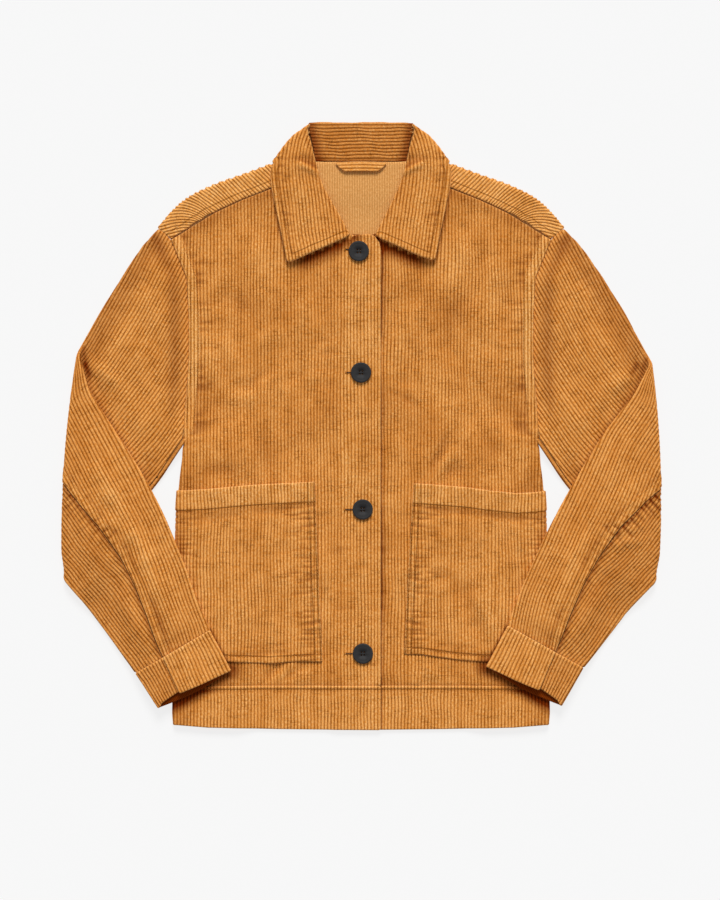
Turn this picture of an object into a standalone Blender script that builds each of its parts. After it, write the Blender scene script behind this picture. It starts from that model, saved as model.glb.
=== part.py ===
"""Corduroy overshirt, laid face up on a table with its sleeves folded in.

Metres, +Z up.  +Y points from the hem to the collar, +X to the wearer's left.
The origin is on the table, under the middle of the garment's outline.
Sizes below are in millimetres and are scaled when a mesh is made.

Each panel of cloth is a sheet of points through the middle of its thickness,
and a Solidify modifier gives it its wall.  The panels are stacked in layers.
The sides of the body are tucked under, so they lie four layers deep.
"""
from collections import namedtuple
from math import cos, hypot, pi, radians, sin

import bmesh
import bpy
import numpy as np
from mathutils import Vector

MM = 0.001                    # one millimetre, in metres

# Cloth and layers
CLOTH = 1.6                   # thickness of the corduroy
SEAM = 0.3                    # space left between two panels at a seam
LAYER = 2.1                   # from one layer of cloth to the next one up
WELD = 0.002                  # points closer than this are one point
SETTLE = 30                   # rounds that find a point of a slanting edge

# Heights up the garment, along Y
HEM_SEAM = -281.0             # top of the hem band
UNDERARM = -20.0              # lowest point of the armhole
RISE_END = 25.0               # the tucked side's extra height ends here
CHEST = 120.0                 # above this the front's rows follow its top edge
BACK_SEAM = 180.0             # where the back meets the yoke
NECK_SEAM = 285.0             # middle of the back neck
COLLAR_TOP = 328.0            # fold of the collar behind the neck

# Tucked side of the body
TUCK = 60.0                   # width of the front that is folded under
BACK_TUCK = 56.0              # and of the back, inside it
TUCK_SLOPE = 30.0             # the panel comes down to the table over this
SIDE_FOLD = 1.5 * LAYER       # radius of the outer panel's fold

# Front edge, where the wearer's right front lies on the left one
OVERLAP = 21.6                # from the middle to the front edge
LAP_FULL = 24.0               # the upper front is one layer up inside this
LAP_START = 40.0              # and level with the other front outside this

# Hem band
BAND_STRAIGHT = 90.0          # its columns inside this run straight up and down
BAND_DRIFT = 20.0             # and over this they come to follow the side edge

# Collar
FALL_LIFT_WIDTH = 95.0        # the yoke lies on the collar's fall inside this
FALL_LIFT_START = 225.0       # and starts to rise to it at this height
EARLY = 12.0                  # the fronts rise this much sooner than the yoke
COLLAR_FOLD = 1.5 * LAYER     # radius where the leaf turns to the back
COLLAR_SAG = 3.0              # bow of the leaf's lower edge

# Sleeves
TUBE = 1.5                    # half the space between a sleeve's two sides
ELBOW = 2.8                   # radius of the elbow fold, to the tube's middle
OVER_SLEEVE = 2 * ELBOW       # height of the forearm's lower side on the sleeve
UNDERARM_SEAM = 6.0           # from the sleeve's lower edge to its seam
OVER_BODY = 11.3              # height of the forearm's lower side on the body
BODY_SLOPE = 55.0             # it comes down to the table over this
SLEEVE_SLOPE = 45.0           # and comes off the upper sleeve over this
CLEAR = 18.0                  # starting this far outside what it lies on
SLEEVE_GAP = 0.45             # from the armhole's edge to the sleeve
CUFF_LAP = 2.6                # rise of the cuff's upper end over its lower end
UNDERLAP = 14.0               # how far the lower end runs on beneath it

# Buttons
BUTTON_RADIUS = 11.0
BUTTON_HEIGHT = 3.2
BUTTON_WELL = 1.0             # depth of the sunk middle
HOLE_RADIUS = 1.1
HOLE_SPACING = 3.6            # between neighbouring holes

Edge = namedtuple("Edge", "height half_width")
SIDE = (
    Edge(-328.0, 202.0), Edge(-309.0, 203.5), Edge(-100.0, 199.0),
    Edge(-70.0, 197.0), Edge(-40.0, 193.5), Edge(UNDERARM, 191.7),
)
ARMHOLE = (
    Edge(UNDERARM, 191.7), Edge(25.0, 188.0), Edge(70.0, 184.5), Edge(120.0, 184.5),
    Edge(160.0, 187.0), Edge(201.5, 204.0), Edge(214.0, 218.0),
)

Line = namedtuple("Line", "across height")
SHOULDER = (
    Line(55.0, 289.0), Line(75.0, 287.0), Line(95.0, 282.5), Line(122.0, 272.5),
    Line(157.0, 260.5), Line(184.0, 248.0), Line(201.0, 234.5), Line(218.0, 213.5),
)
YOKE_SEAM = (
    Line(55.0, 272.0), Line(128.0, 244.0), Line(158.0, 230.0), Line(186.5, 212.5),
    Line(204.0, 201.5),
)
NECKLINE = (
    Line(-21.6, 193.0), Line(-17.0, 203.0), Line(-8.0, 207.0), Line(10.0, 205.5),
    Line(25.0, 212.0), Line(45.0, 240.0), Line(55.0, 272.0),
)
HEM = (
    Line(0.0, -328.0), Line(90.0, -327.0), Line(165.0, -325.0), Line(202.0, -322.0),
)

# Pocket: its inner edge, and its top and bottom edges, for each front
POCKET_INNER = {
    "right": (Edge(-254.0, 41.5), Edge(-186.0, 44.8), Edge(-60.0, 50.0)),
    "left": (Edge(-246.0, 46.4), Edge(-186.0, 49.4), Edge(-62.0, 57.0)),
}
POCKET_TOP = {
    "right": (Line(50.0, -60.0), Line(121.0, -63.7), Line(168.0, -68.0), Line(197.0, -69.0)),
    "left": (Line(57.0, -61.6), Line(114.0, -66.0), Line(169.0, -72.4), Line(196.0, -69.0)),
}
POCKET_BOTTOM = {
    "right": (Line(41.5, -251.6), Line(98.0, -256.0), Line(142.0, -254.0), Line(200.0, -250.0)),
    "left": (Line(46.4, -243.0), Line(86.0, -249.5), Line(133.0, -254.0), Line(200.0, -252.0)),
}

# Sleeve rings, from armhole to cuff: both ends of the flattened ring, and how
# far along it the back seam lies.  "top" is the edge from the shoulder, and
# "under" the edge from the underarm.  Distances across are from the middle.
Ring = namedtuple("Ring", "top_across top_height under_across under_height seam")
UPPER_SLEEVE = {
    "right": (
        Ring(216.5, 211.5, 190.5, -15.0, 0.617), Ring(234.0, 193.0, 203.0, -33.0, 0.52),
        Ring(257.0, 158.0, 218.0, -56.0, 0.54), Ring(281.0, 119.0, 247.0, -92.0, 0.57),
        Ring(300.0, 84.0, 317.3, -157.5, 0.59),
    ),
    "left": (
        Ring(216.5, 211.5, 190.5, -15.0, 0.617), Ring(234.5, 194.0, 203.0, -33.0, 0.52),
        Ring(259.5, 158.0, 218.0, -56.0, 0.54), Ring(284.5, 118.0, 247.0, -92.0, 0.57),
        Ring(308.0, 72.0, 315.5, -160.0, 0.59),
    ),
}
FOREARM = {
    "right": (
        Ring(293.0, 40.0, 308.0, -179.5, 0.55), Ring(262.0, -10.0, 293.0, -195.0, 0.54),
        Ring(235.0, -56.0, 278.0, -215.0, 0.54), Ring(213.5, -97.0, 266.0, -231.5, 0.56),
        Ring(192.0, -149.0, 255.5, -245.5, 0.58), Ring(176.0, -193.0, 247.0, -256.5, 0.61),
        Ring(164.0, -221.0, 240.5, -265.5, 0.63),
    ),
    "left": (
        Ring(296.0, 38.0, 305.5, -180.0, 0.55), Ring(262.0, -8.0, 289.0, -195.0, 0.54),
        Ring(235.0, -55.0, 272.0, -216.5, 0.54), Ring(211.0, -97.0, 259.0, -233.0, 0.56),
        Ring(190.0, -141.0, 248.5, -246.0, 0.58), Ring(171.0, -183.0, 243.0, -253.0, 0.61),
        Ring(159.0, -216.0, 237.0, -259.5, 0.63),
    ),
}
CUFF_END = {
    "right": Ring(141.5, -264.0, 216.0, -302.5, 0.63),
    "left": Ring(136.0, -259.5, 213.5, -300.0, 0.63),
}
ELBOW_BOW = 6.0               # the elbow fold bows outward by this

# Collar leaf: its roll edge beside the neck and its outer edge, from the back
# of the neck to the collar point.
Leaf = namedtuple("Leaf", "roll_across roll_height outer_across outer_height")
FOLDED_LEAF = (
    Leaf(54.0, 318.0, 60.0, 318.0), Leaf(52.0, 305.0, 72.0, 304.0),
    Leaf(49.5, 290.0, 85.5, 291.0),
)
FREE_LEAF = (
    Leaf(48.2, 283.0, 94.5, 283.0), Leaf(46.4, 273.0, 97.5, 272.0), Leaf(40.5, 259.0, 97.0, 256.0),
    Leaf(33.5, 246.0, 92.5, 237.0), Leaf(28.0, 236.0, 89.0, 220.0),
    Leaf(22.5, 226.0, 85.5, 206.0), Leaf(16.5, 215.0, 82.5, 191.0),
    Leaf(11.5, 206.0, 80.0, 178.0),
)
# The fall behind the neck, and the inner side folded down in front of it
FALL = (
    Edge(262.0, 76.0), Edge(277.0, 84.0), Edge(291.0, 85.5), Edge(304.0, 72.0),
    Edge(318.0, 60.0),
)
FOLD_HALF_WIDTH = 52.5
INNER_SIDE = (Edge(306.0, 51.0), Edge(287.0, 49.0))
HANGER_LOOP = (Edge(283.0, 27.0), Edge(279.0, 22.5), Edge(274.0, 18.0))

BUTTONS = (Line(-2.4, 188.3), Line(0.0, 57.5), Line(1.8, -90.0), Line(2.0, -245.2))

# Places of columns, from the side inward, and of rows, from the hem up
SIDE_COLUMNS = (TUCK + TUCK_SLOPE, TUCK + TUCK_SLOPE / 2, TUCK, 30.0, 8.0, 0.0)
BODY_ROWS = (HEM_SEAM, -240.0, -170.0, -100.0, -60.0, UNDERARM, 2.5, RISE_END, 70.0, CHEST)
ARC = tuple(radians(angle) for angle in (90, 45, 0, -45, -90))


# ---------------------------------------------------------------- scene

for old in list(bpy.data.objects):
    bpy.data.objects.remove(old, do_unlink=True)

overshirt = bpy.data.collections.new("corduroy_overshirt")
cutters = bpy.data.collections.new("cutters")
bpy.context.scene.collection.children.link(overshirt)
bpy.context.scene.collection.children.link(cutters)


def material(name, colour, roughness):
    """A plain dielectric finish."""
    finish = bpy.data.materials.new(name)
    finish.use_nodes = True
    shader = finish.node_tree.nodes["Principled BSDF"]
    shader.inputs["Base Color"].default_value = (*colour, 1.0)
    shader.inputs["Roughness"].default_value = roughness
    shader.inputs["Metallic"].default_value = 0.0
    return finish


corduroy = material("tan_corduroy", (0.66, 0.31, 0.09), 0.9)
horn = material("charcoal_button", (0.03, 0.032, 0.036), 0.4)


# ---------------------------------------------------------------- helpers

def ramp(value):
    """Value held between 0 and 1."""
    return min(max(value, 0.0), 1.0)


def read(table, at):
    """Straight-line reading of a two-column table, rising in its key column."""
    rows = sorted((row.height, row.half_width) if isinstance(row, Edge) else tuple(row)
                  for row in table)
    return float(np.interp(at, [row[0] for row in rows], [row[1] for row in rows]))


def level(number):
    """Height of the middle of a layer, counted from the table."""
    return CLOTH / 2 + number * LAYER


def cloth(name, patches):
    """One panel: patches of rows of points, welded and given their wall."""
    bm = bmesh.new()
    for rows in patches:
        grid = [[bm.verts.new(Vector(point) * MM) for point in row] for row in rows]
        for near, far in zip(grid, grid[1:]):
            for corner in zip(near, near[1:], far[1:], far):
                bm.faces.new(corner)
    bmesh.ops.remove_doubles(bm, verts=bm.verts, dist=WELD * MM)
    bmesh.ops.recalc_face_normals(bm, faces=bm.faces)
    bmesh.ops.triangulate(bm, faces=bm.faces, quad_method="SHORT_EDGE")
    mesh = bpy.data.meshes.new(name)
    bm.to_mesh(mesh)
    bm.free()
    mesh.materials.append(corduroy)
    panel = bpy.data.objects.new(name, mesh)
    overshirt.objects.link(panel)
    wall = panel.modifiers.new("wall", "SOLIDIFY")
    wall.thickness = CLOTH * MM
    wall.offset = 0.0
    wall.use_even_offset = True
    return panel


# ---------------------------------------------------------------- body shape

def body_edge(height):
    """Half width of the body panel: its side fold, or the armhole above it."""
    if height <= UNDERARM:
        return read(SIDE, height) - SIDE_FOLD - CLOTH / 2
    return read(ARMHOLE, height)


def tuck_rise(across, height):
    """Extra height of the panels where the tucked sides lie under them."""
    inside = body_edge(height) - across
    near_side = ramp((TUCK + TUCK_SLOPE - inside) / TUCK_SLOPE)
    outside = ramp(1.0 + inside / TUCK_SLOPE)
    below_arm = ramp((RISE_END - height) / (RISE_END - UNDERARM))
    return 2 * LAYER * near_side * outside * below_arm


def neck_rise(across, height):
    """Extra height where the collar's fall lies under the yoke."""
    upward = ramp((height - FALL_LIFT_START) / TUCK_SLOPE)
    inward = ramp((FALL_LIFT_WIDTH + TUCK_SLOPE - across) / TUCK_SLOPE)
    return LAYER * upward * inward


def lap_rise(across):
    """Extra height of the upper front where it lies on the other one."""
    return LAYER * ramp((LAP_START - across) / (LAP_START - LAP_FULL))


def side_columns(height):
    """Distances from the middle of the columns near the body's side."""
    return [body_edge(height) - inset for inset in SIDE_COLUMNS]


def under_strip(side, heights, radius, width):
    """The fold at the side and the strip tucked under, as one patch."""
    centre = level(1.5)
    rows = []
    for height in heights:
        edge = body_edge(height)
        turn = [(edge + radius * cos(angle), centre + radius * sin(angle)) for angle in ARC]
        flat = [(edge - width * share, centre - radius) for share in (0.35, 0.7, 1.0)]
        rows.append([(side * across, height, z) for across, z in turn + flat])
    return rows


# ---------------------------------------------------------------- back, yoke

def back_row(height):
    """One row of the back, from side to side, on the table."""
    outer = side_columns(height)
    half = [outer[0] * share for share in (0.0, 0.35, 0.7)] + outer
    across = [-x for x in reversed(half[1:])] + half
    return [(x, height, level(0) + tuck_rise(abs(x), height)) for x in across]


def make_back():
    heights = BODY_ROWS + (ARMHOLE[4].height, BACK_SEAM - SEAM)
    tucked = [height for height in heights if height <= UNDERARM]
    patches = [[back_row(height) for height in heights]]
    for side in (-1, 1):
        patches.append(under_strip(side, tucked, LAYER / 2, BACK_TUCK))
    cloth("back", patches)


def hem_rows(seam, heights_at):
    """Rows of a hem band: the shares of the way from the seam to the edge."""
    return [[seam + (bottom - seam) * share for bottom in heights_at]
            for share in (0.0, 0.5, 1.0)]


def hem_edge(across):
    return read(HEM, abs(across))


def band_under(side, radius, width):
    """Tucked end of a hem band, as one patch."""
    top = HEM_SEAM - SEAM
    bottom = hem_edge(body_edge(top))
    return under_strip(side, (top, (top + bottom) / 2, bottom), radius, width)


def make_hem_back():
    top = back_row(HEM_SEAM - SEAM)
    rows = hem_rows(HEM_SEAM - SEAM, [hem_edge(point[0]) for point in top])
    sheet = [[(edge_at(point[0], height), height, point[2])
              for point, height in zip(top, row)] for row in rows]
    patches = [sheet] + [band_under(side, LAYER / 2, BACK_TUCK) for side in (-1, 1)]
    cloth("hem_band_back", patches)


def edge_at(across, height):
    """A hem band's point, kept on its column as the side edge moves in or out."""
    drift = body_edge(height) - body_edge(HEM_SEAM - SEAM)
    share = ramp((abs(across) - BAND_STRAIGHT) / BAND_DRIFT)
    return across + drift * share * (1 if across > 0 else -1)


YOKE_COLUMNS = (0.0, 0.11, 0.225, 0.2525, 0.36, 0.47, 0.587, 0.725, 0.862, 0.94, 1.0)
YOKE_ROWS = (0.0, 0.3, 0.642, 0.85, 1.0)
FIRST_SHOULDER = 3            # first yoke column that reaches the shoulder


def yoke_point(share, height):
    return share * read(ARMHOLE, min(max(height, BACK_SEAM), ARMHOLE[-1].height))


def make_yoke():
    """Back yoke with vertical sides, turned over both shoulders to the front."""
    widest = ARMHOLE[-1].half_width
    half = []
    for column, share in enumerate(YOKE_COLUMNS):
        across = share * widest
        top = NECK_SEAM - SEAM if column < FIRST_SHOULDER else read(SHOULDER, across)
        half.append([BACK_SEAM + (top - BACK_SEAM) * part for part in YOKE_ROWS])
    rows = []
    for part in range(len(YOKE_ROWS)):
        line = []
        for share, heights in zip(YOKE_COLUMNS, half):
            across = yoke_point(share, heights[part])
            line.append((across, heights[part], level(0) + neck_rise(across, heights[part])))
        rows.append([(-x, y, z) for x, y, z in reversed(line[1:])] + line)
    patches = [rows]
    for side in (-1, 1):
        patches.append([shoulder_column(side, share) for share in YOKE_COLUMNS[FIRST_SHOULDER:]])
    cloth("yoke", patches)


def shoulder_column(side, share):
    """Turn over the shoulder and run down to the front seam, at one column."""
    across = share * ARMHOLE[-1].half_width
    top = read(SHOULDER, across)
    slope = (read(SHOULDER, across + 1) - read(SHOULDER, across - 1)) / 2
    outward = (-slope / hypot(slope, 1), 1 / hypot(slope, 1))
    middle = level(0.5) + neck_rise(across, top)
    column = []
    for angle in reversed(ARC):
        out = LAYER / 2 * cos(angle)
        column.append((side * (across + out * outward[0]), top + out * outward[1],
                       middle + LAYER / 2 * sin(angle)))
    bottom = top
    for _ in range(SETTLE):
        bottom = read(YOKE_SEAM, yoke_point(share, bottom)) + SEAM
    for part in (0.35, 0.7, 1.0):
        height = top + (bottom - top) * part
        x = yoke_point(share, height)
        column.append((side * x, height, level(1) + neck_rise(x, height)))
    return column


# ---------------------------------------------------------------- fronts

FRONT_COLUMNS = (-OVERLAP, -17.0, -6.0, 10.0, LAP_FULL, LAP_START, 55.0, 78.0)


def front_top(across):
    """Top edge of a front: neckline under the collar, then the yoke seam."""
    if across <= YOKE_SEAM[0].across:
        return read(NECKLINE, across)
    return read(YOKE_SEAM, across) - SEAM


def front_height(across, height, upper):
    """Height above the table of the middle of a front panel's wall."""
    rise = lap_rise(across) if upper else 0.0
    neck = neck_rise(across, height + EARLY)
    return level(1) + tuck_rise(across, height) + neck + rise


def make_front(name, side, upper):
    """Front panel; the upper one, the wearer's right, carries the buttonholes."""
    columns = len(FRONT_COLUMNS) + len(SIDE_COLUMNS)

    def across_at(column, height):
        return (list(FRONT_COLUMNS) + side_columns(height))[column]

    tops = []
    for column in range(columns):
        top = BACK_SEAM
        for _ in range(SETTLE):
            top = front_top(across_at(column, top))
        tops.append(top)
    rows = [[height] * columns for height in BODY_ROWS]
    rows += [[CHEST + (top - CHEST) * share for top in tops] for share in (0.25, 0.5, 0.75, 1.0)]
    sheet = []
    for heights in rows:
        line = [(across_at(column, height), height) for column, height in enumerate(heights)]
        sheet.append([(side * x, y, front_height(x, y, upper)) for x, y in line])
    tucked = [height for height in BODY_ROWS if height <= UNDERARM]
    cloth(name, [sheet, under_strip(side, tucked, SIDE_FOLD, TUCK)])


def make_front_band(name, side, upper):
    top = list(FRONT_COLUMNS) + side_columns(HEM_SEAM - SEAM)
    rows = hem_rows(HEM_SEAM - SEAM, [hem_edge(x) for x in top])
    sheet = [[(side * edge_at(x, height), height, front_height(x, HEM_SEAM - SEAM, upper))
              for x, height in zip(top, row)] for row in rows]
    cloth(name, [sheet, band_under(side, SIDE_FOLD, TUCK)])


POCKET_COLUMNS = (0.0, 20.0, 40.0)   # outward from the pocket's inner edge


def make_pocket(name, side, hand):
    """Patch pocket, one layer above its front, out to the side fold."""
    inner, top, bottom = POCKET_INNER[hand], POCKET_TOP[hand], POCKET_BOTTOM[hand]
    rows = []
    for share in (0.0, 0.3, 0.6, 0.85, 1.0):
        row = []
        for column in range(len(POCKET_COLUMNS) + len(SIDE_COLUMNS)):
            height = inner[1].height
            for _ in range(SETTLE):
                near = [read(inner, height) + step for step in POCKET_COLUMNS]
                across = (near + side_columns(height))[column]
                low, high = read(bottom, across), read(top, across)
                height = low + (high - low) * share
            row.append((side * across, height, front_height(across, height, False) + LAYER))
        rows.append(row)
    cloth(name, [rows])


# ---------------------------------------------------------------- collar

def make_collar():
    """One-piece collar: the fall hidden behind the neck, the inner side folded
    down in front of it, and the two leaves turned over the shoulders."""
    shares = (-1.0, -0.66, -0.33, 0.0, 0.33, 0.66, 1.0)
    fold = Edge(COLLAR_TOP - LAYER / 2 - CLOTH / 2, FOLD_HALF_WIDTH)
    fall = [[(edge.half_width * share, edge.height, level(0)) for share in shares]
            for edge in FALL + (fold,)]
    turn = [[(fold.half_width * share, fold.height + LAYER / 2 * cos(angle),
              level(0.5) + LAYER / 2 * sin(angle)) for share in shares]
            for angle in reversed(ARC)]
    inner = [[(edge.half_width * share, edge.height, level(1)) for share in shares]
             for edge in (fold,) + INNER_SIDE]
    patches = [fall, turn, inner]
    for side in (-1, 1):
        patches += leaf_patches(side)
    cloth("collar", patches)


def leaf_patches(side):
    """A leaf, and its turn over the shoulder to the fall behind the neck."""
    up = level(3)
    leaf = []
    for row in FOLDED_LEAF + FREE_LEAF:
        line = []
        for share in (0.0, 0.35, 0.7, 1.0):
            across = row.roll_across + (row.outer_across - row.roll_across) * share
            height = row.roll_height + (row.outer_height - row.roll_height) * share
            sag = COLLAR_SAG * 4 * share * (1 - share) if row is FREE_LEAF[-1] else 0.0
            line.append((side * across, height - sag, up))
        leaf.append(line)
    turn = []
    for row in FOLDED_LEAF:
        turn.append([(side * (row.outer_across + COLLAR_FOLD * cos(angle)), row.outer_height,
                      level(1.5) + COLLAR_FOLD * sin(angle)) for angle in ARC])
    return [leaf, turn]


def make_hanger_loop():
    """Short strip hanging from the middle of the back neck seam."""
    rows = [[(edge.half_width * share, edge.height, level(2)) for share in (-1, -0.5, 0, 0.5, 1)]
            for edge in HANGER_LOOP]
    cloth("hanger_loop", [rows])


# ---------------------------------------------------------------- sleeves

# Columns of a ring, placed to meet the corners of the armhole's outline
FRONT_SHARES = (1.0, 0.835, 0.633, 0.41, 0.23, 0.045)
BACK_SHARES = (0.07, 0.364, 0.647, 1.0)
UNDER_SHARES = (0.0, 0.51)

# One ring of a sleeve as it is placed: how far it is turned over the elbow,
# how much of the armhole's and the elbow's shape it takes, and the directions
# in which its two round ends point.
Station = namedtuple("Station", "ring turn armhole elbow top_out under_out")


def ring_length(ring):
    return hypot(ring.under_across - ring.top_across, ring.under_height - ring.top_height)


def ring_spot(ring, share):
    """Point on a ring's straight line, from its top edge to its under edge."""
    across = ring.top_across + (ring.under_across - ring.top_across) * share
    height = ring.top_height + (ring.under_height - ring.top_height) * share
    return Vector((across, height))


def ring_ends(rings, index):
    """Directions square to a sleeve's two edges, away from the cloth."""
    before, after = rings[max(index - 1, 0)], rings[min(index + 1, len(rings) - 1)]
    middle = ring_spot(rings[index], 0.5)
    outward = []
    for share in (0.0, 1.0):
        run = ring_spot(after, share) - ring_spot(before, share)
        normal = Vector((-run.y, run.x)).normalized()
        if normal.dot(ring_spot(rings[index], share) - middle) < 0:
            normal = -normal
        outward.append(normal)
    return outward


def sleeve_stations(hand):
    """Rings from the armhole, round the elbow fold, to the cuff."""
    upper, lower = UPPER_SLEEVE[hand], FOREARM[hand]
    along = (ring_spot(upper[0], 1.0) - ring_spot(upper[0], 0.0)).normalized()
    stations = [Station(upper[0], 0.0, 1.0, 0.0, -along, ring_ends(upper, 0)[1])]
    for index, elbow in ((1, 0.2), (2, 0.45), (3, 0.75)):
        stations.append(Station(upper[index], 0.0, 1 - elbow, elbow, *ring_ends(upper, index)))
    along = (ring_spot(upper[4], 1.0) - ring_spot(upper[4], 0.0)).normalized()
    for part in range(7):
        stations.append(Station(upper[4], pi * part / 6, 0.0, 1.0, -along, along))
    for index, ring in enumerate(lower):
        elbow = max(0.0, 0.75 - 0.25 * index)
        stations.append(Station(ring, pi, 0.0, elbow, *ring_ends(lower, index)))
    return stations


def forearm_rise(across, height):
    """Height of the forearm's lower side: on the body, the sleeve or the table."""
    resting = level(0)
    beside = ramp((across - read(SIDE, height) - CLEAR) / BODY_SLOPE)
    on_body = OVER_BODY + (resting - OVER_BODY) * beside
    over_sleeve = resting + OVER_SLEEVE
    near, far = UPPER_SLEEVE["right"][2], UPPER_SLEEVE["right"][4]
    run, fall = far.under_across - near.under_across, near.under_height - far.under_height
    below = ((near.under_height - height) * run
             - (across - near.under_across) * fall) / hypot(run, fall)
    on_sleeve = over_sleeve + (resting - over_sleeve) * ramp((below - CLEAR) / SLEEVE_SLOPE)
    return max(on_body, on_sleeve)


def armhole_bow(share, out):
    """How far the first ring stands out from its straight line, at the armhole."""
    start = ring_spot(UPPER_SLEEVE["right"][0], share)
    if share < 0.5:
        return read(ARMHOLE, start.y + out) - start.x + SLEEVE_GAP + 1.2 * out
    room = TUBE + CLOTH / 2 if share == 1.0 else 0.0
    return read(ARMHOLE, start.y) - start.x + SLEEVE_GAP + room


def sleeve_point(station, share, out, lift):
    """Point of a placed ring: share of the way along it, out past its round
    end, and lifted from the middle of the tube."""
    spot = ring_spot(station.ring, share)
    spot += abs(out) * (station.top_out if share < 0.5 else station.under_out)
    bow = station.armhole * armhole_bow(share, out if station.armhole == 1.0 else 0.0)
    bow += station.elbow * ELBOW_BOW * 4 * share * (1 - share)
    radius = ELBOW - lift
    across = spot.x + bow + radius * sin(station.turn)
    z = level(0) + TUBE + ELBOW - radius * cos(station.turn)
    if station.turn == 0.0:
        z += tuck_rise(across, spot.y)
    if station.turn == pi:
        z += forearm_rise(across, spot.y) - level(0) - OVER_SLEEVE
    return across, spot.y, z


def tube_end(share):
    """Round end of a flattened ring, from its front side to its back."""
    return [(share, TUBE * cos(angle), TUBE * sin(angle)) for angle in ARC]


def sleeve_columns(ring):
    """Columns of the top sleeve and of the under sleeve at one ring."""
    gap = SEAM / ring_length(ring)
    front_end = 1.0 - UNDERARM_SEAM / ring_length(ring)
    top = [(front_end * share, 0.0, TUBE) for share in FRONT_SHARES]
    top += tube_end(0.0)
    top += [(ring.seam * share, 0.0, -TUBE) for share in BACK_SHARES]
    under = [(ring.seam + gap + (1 - ring.seam - gap) * share, 0.0, -TUBE)
             for share in UNDER_SHARES]
    under += list(reversed(tube_end(1.0)))
    under += [(front_end + 3 * gap, 0.0, TUBE)]
    return top, under


def make_sleeve(hand, side):
    """Two-piece sleeve, flattened, and folded back on itself at the elbow."""
    panels = {"_top": [], "_under": []}
    for station in sleeve_stations(hand):
        for rows, columns in zip(panels.values(), sleeve_columns(station.ring)):
            points = [sleeve_point(station, *column) for column in columns]
            rows.append([(side * across, height, z) for across, height, z in points])
    for part, rows in panels.items():
        cloth("sleeve_" + hand + part, [rows])


CUFF_ROWS = (0.015, 0.5, 1.0)  # shares of the cuff's depth, just clear of the sleeve


def make_cuff(hand, side):
    """Cuff band round the wrist; its upper end laps over its lower end."""
    start, end = FOREARM[hand][-1], CUFF_END[hand]
    rows = []
    for share in CUFF_ROWS:
        ring = Ring(*(a + (b - a) * share for a, b in zip(start, end)))
        station = Station(ring, pi, 0.0, 0.0, *ring_ends((start, ring, end), 1))
        columns = [(ring.seam * part, 0.0, -TUBE - CUFF_LAP * ramp((part - 0.3) / 0.4))
                   for part in (1.0, 0.85, 0.7, 0.5, 0.3)]
        columns += list(reversed(tube_end(0.0)))
        columns += [(part, 0.0, TUBE) for part in (0.25, 0.5, 0.75)]
        columns += tube_end(1.0)
        underlap = ring.seam - UNDERLAP / ring_length(ring)
        columns += [(part, 0.0, -TUBE) for part in (0.85, ring.seam, underlap)]
        points = [sleeve_point(station, *column) for column in columns]
        rows.append([(side * across, height, z) for across, height, z in points])
    cloth("cuff_" + hand, [rows])


# ---------------------------------------------------------------- buttons

Turn = namedtuple("Turn", "inset height")
BUTTON_PROFILE = (
    Turn(BUTTON_RADIUS, BUTTON_HEIGHT - BUTTON_WELL), Turn(3.6, BUTTON_HEIGHT - BUTTON_WELL),
    Turn(2.6, BUTTON_HEIGHT), Turn(0.9, BUTTON_HEIGHT), Turn(0.0, BUTTON_HEIGHT - 1.0),
    Turn(0.6, 0.6), Turn(1.8, 0.0), Turn(BUTTON_RADIUS, 0.0),
)


def button_mesh():
    """Turned profile of a button, down its outer side from the middle."""
    mesh = bpy.data.meshes.new("button_profile")
    points = [((BUTTON_RADIUS - turn.inset) * MM, 0.0, turn.height * MM)
              for turn in BUTTON_PROFILE]
    mesh.from_pydata(points, [(i, i + 1) for i in range(len(points) - 1)], [])
    mesh.materials.append(horn)
    return mesh


def hole_cutter(name, place):
    """Four round holes through a button, as one cutter."""
    bm = bmesh.new()
    for x in (-0.5, 0.5):
        for y in (-0.5, 0.5):
            made = bmesh.ops.create_cone(
                bm, cap_ends=True, segments=10, radius1=HOLE_RADIUS * MM,
                radius2=HOLE_RADIUS * MM, depth=3 * BUTTON_HEIGHT * MM)
            bmesh.ops.translate(bm, verts=made["verts"],
                                vec=(x * HOLE_SPACING * MM, y * HOLE_SPACING * MM, 0.0))
    mesh = bpy.data.meshes.new(name)
    bm.to_mesh(mesh)
    bm.free()
    cutter = bpy.data.objects.new(name, mesh)
    cutter.location = place
    cutter.hide_render = True
    cutter.display_type = "WIRE"
    cutters.objects.link(cutter)
    return cutter


def make_buttons():
    profile = button_mesh()
    bottom = level(2) + CLOTH / 2 + SEAM
    for number, spot in enumerate(BUTTONS, start=1):
        button = bpy.data.objects.new("button_%d" % number, profile)
        button.location = Vector((spot.across, spot.height, bottom)) * MM
        overshirt.objects.link(button)
        turned = button.modifiers.new("turned", "SCREW")
        turned.steps = turned.render_steps = 24
        turned.use_merge_vertices = True
        turned.merge_threshold = 0.00001
        drilled = button.modifiers.new("holes", "BOOLEAN")
        drilled.object = hole_cutter("holes_%d" % number, button.location)


# ---------------------------------------------------------------- garment

make_back()
make_hem_back()
make_yoke()
make_front("front_left", 1, False)
make_front("front_right", -1, True)
make_front_band("hem_band_left", 1, False)
make_front_band("hem_band_right", -1, True)
make_pocket("pocket_left", 1, "left")
make_pocket("pocket_right", -1, "right")
make_collar()
make_hanger_loop()
for HAND, SIGN in (("right", -1), ("left", 1)):
    make_sleeve(HAND, SIGN)
    make_cuff(HAND, SIGN)
make_buttons()
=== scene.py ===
"""Looks of a corduroy overshirt, laid face up with its sleeves folded in.

Every panel is a thin shell of ribbed cloth, made in its own flat pattern and
then laid where the frame has it.  Pattern and laid sizes are in millimetres.
"""
from collections import namedtuple
from math import atan2, ceil, cos, floor, hypot, pi, radians, sin

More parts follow.
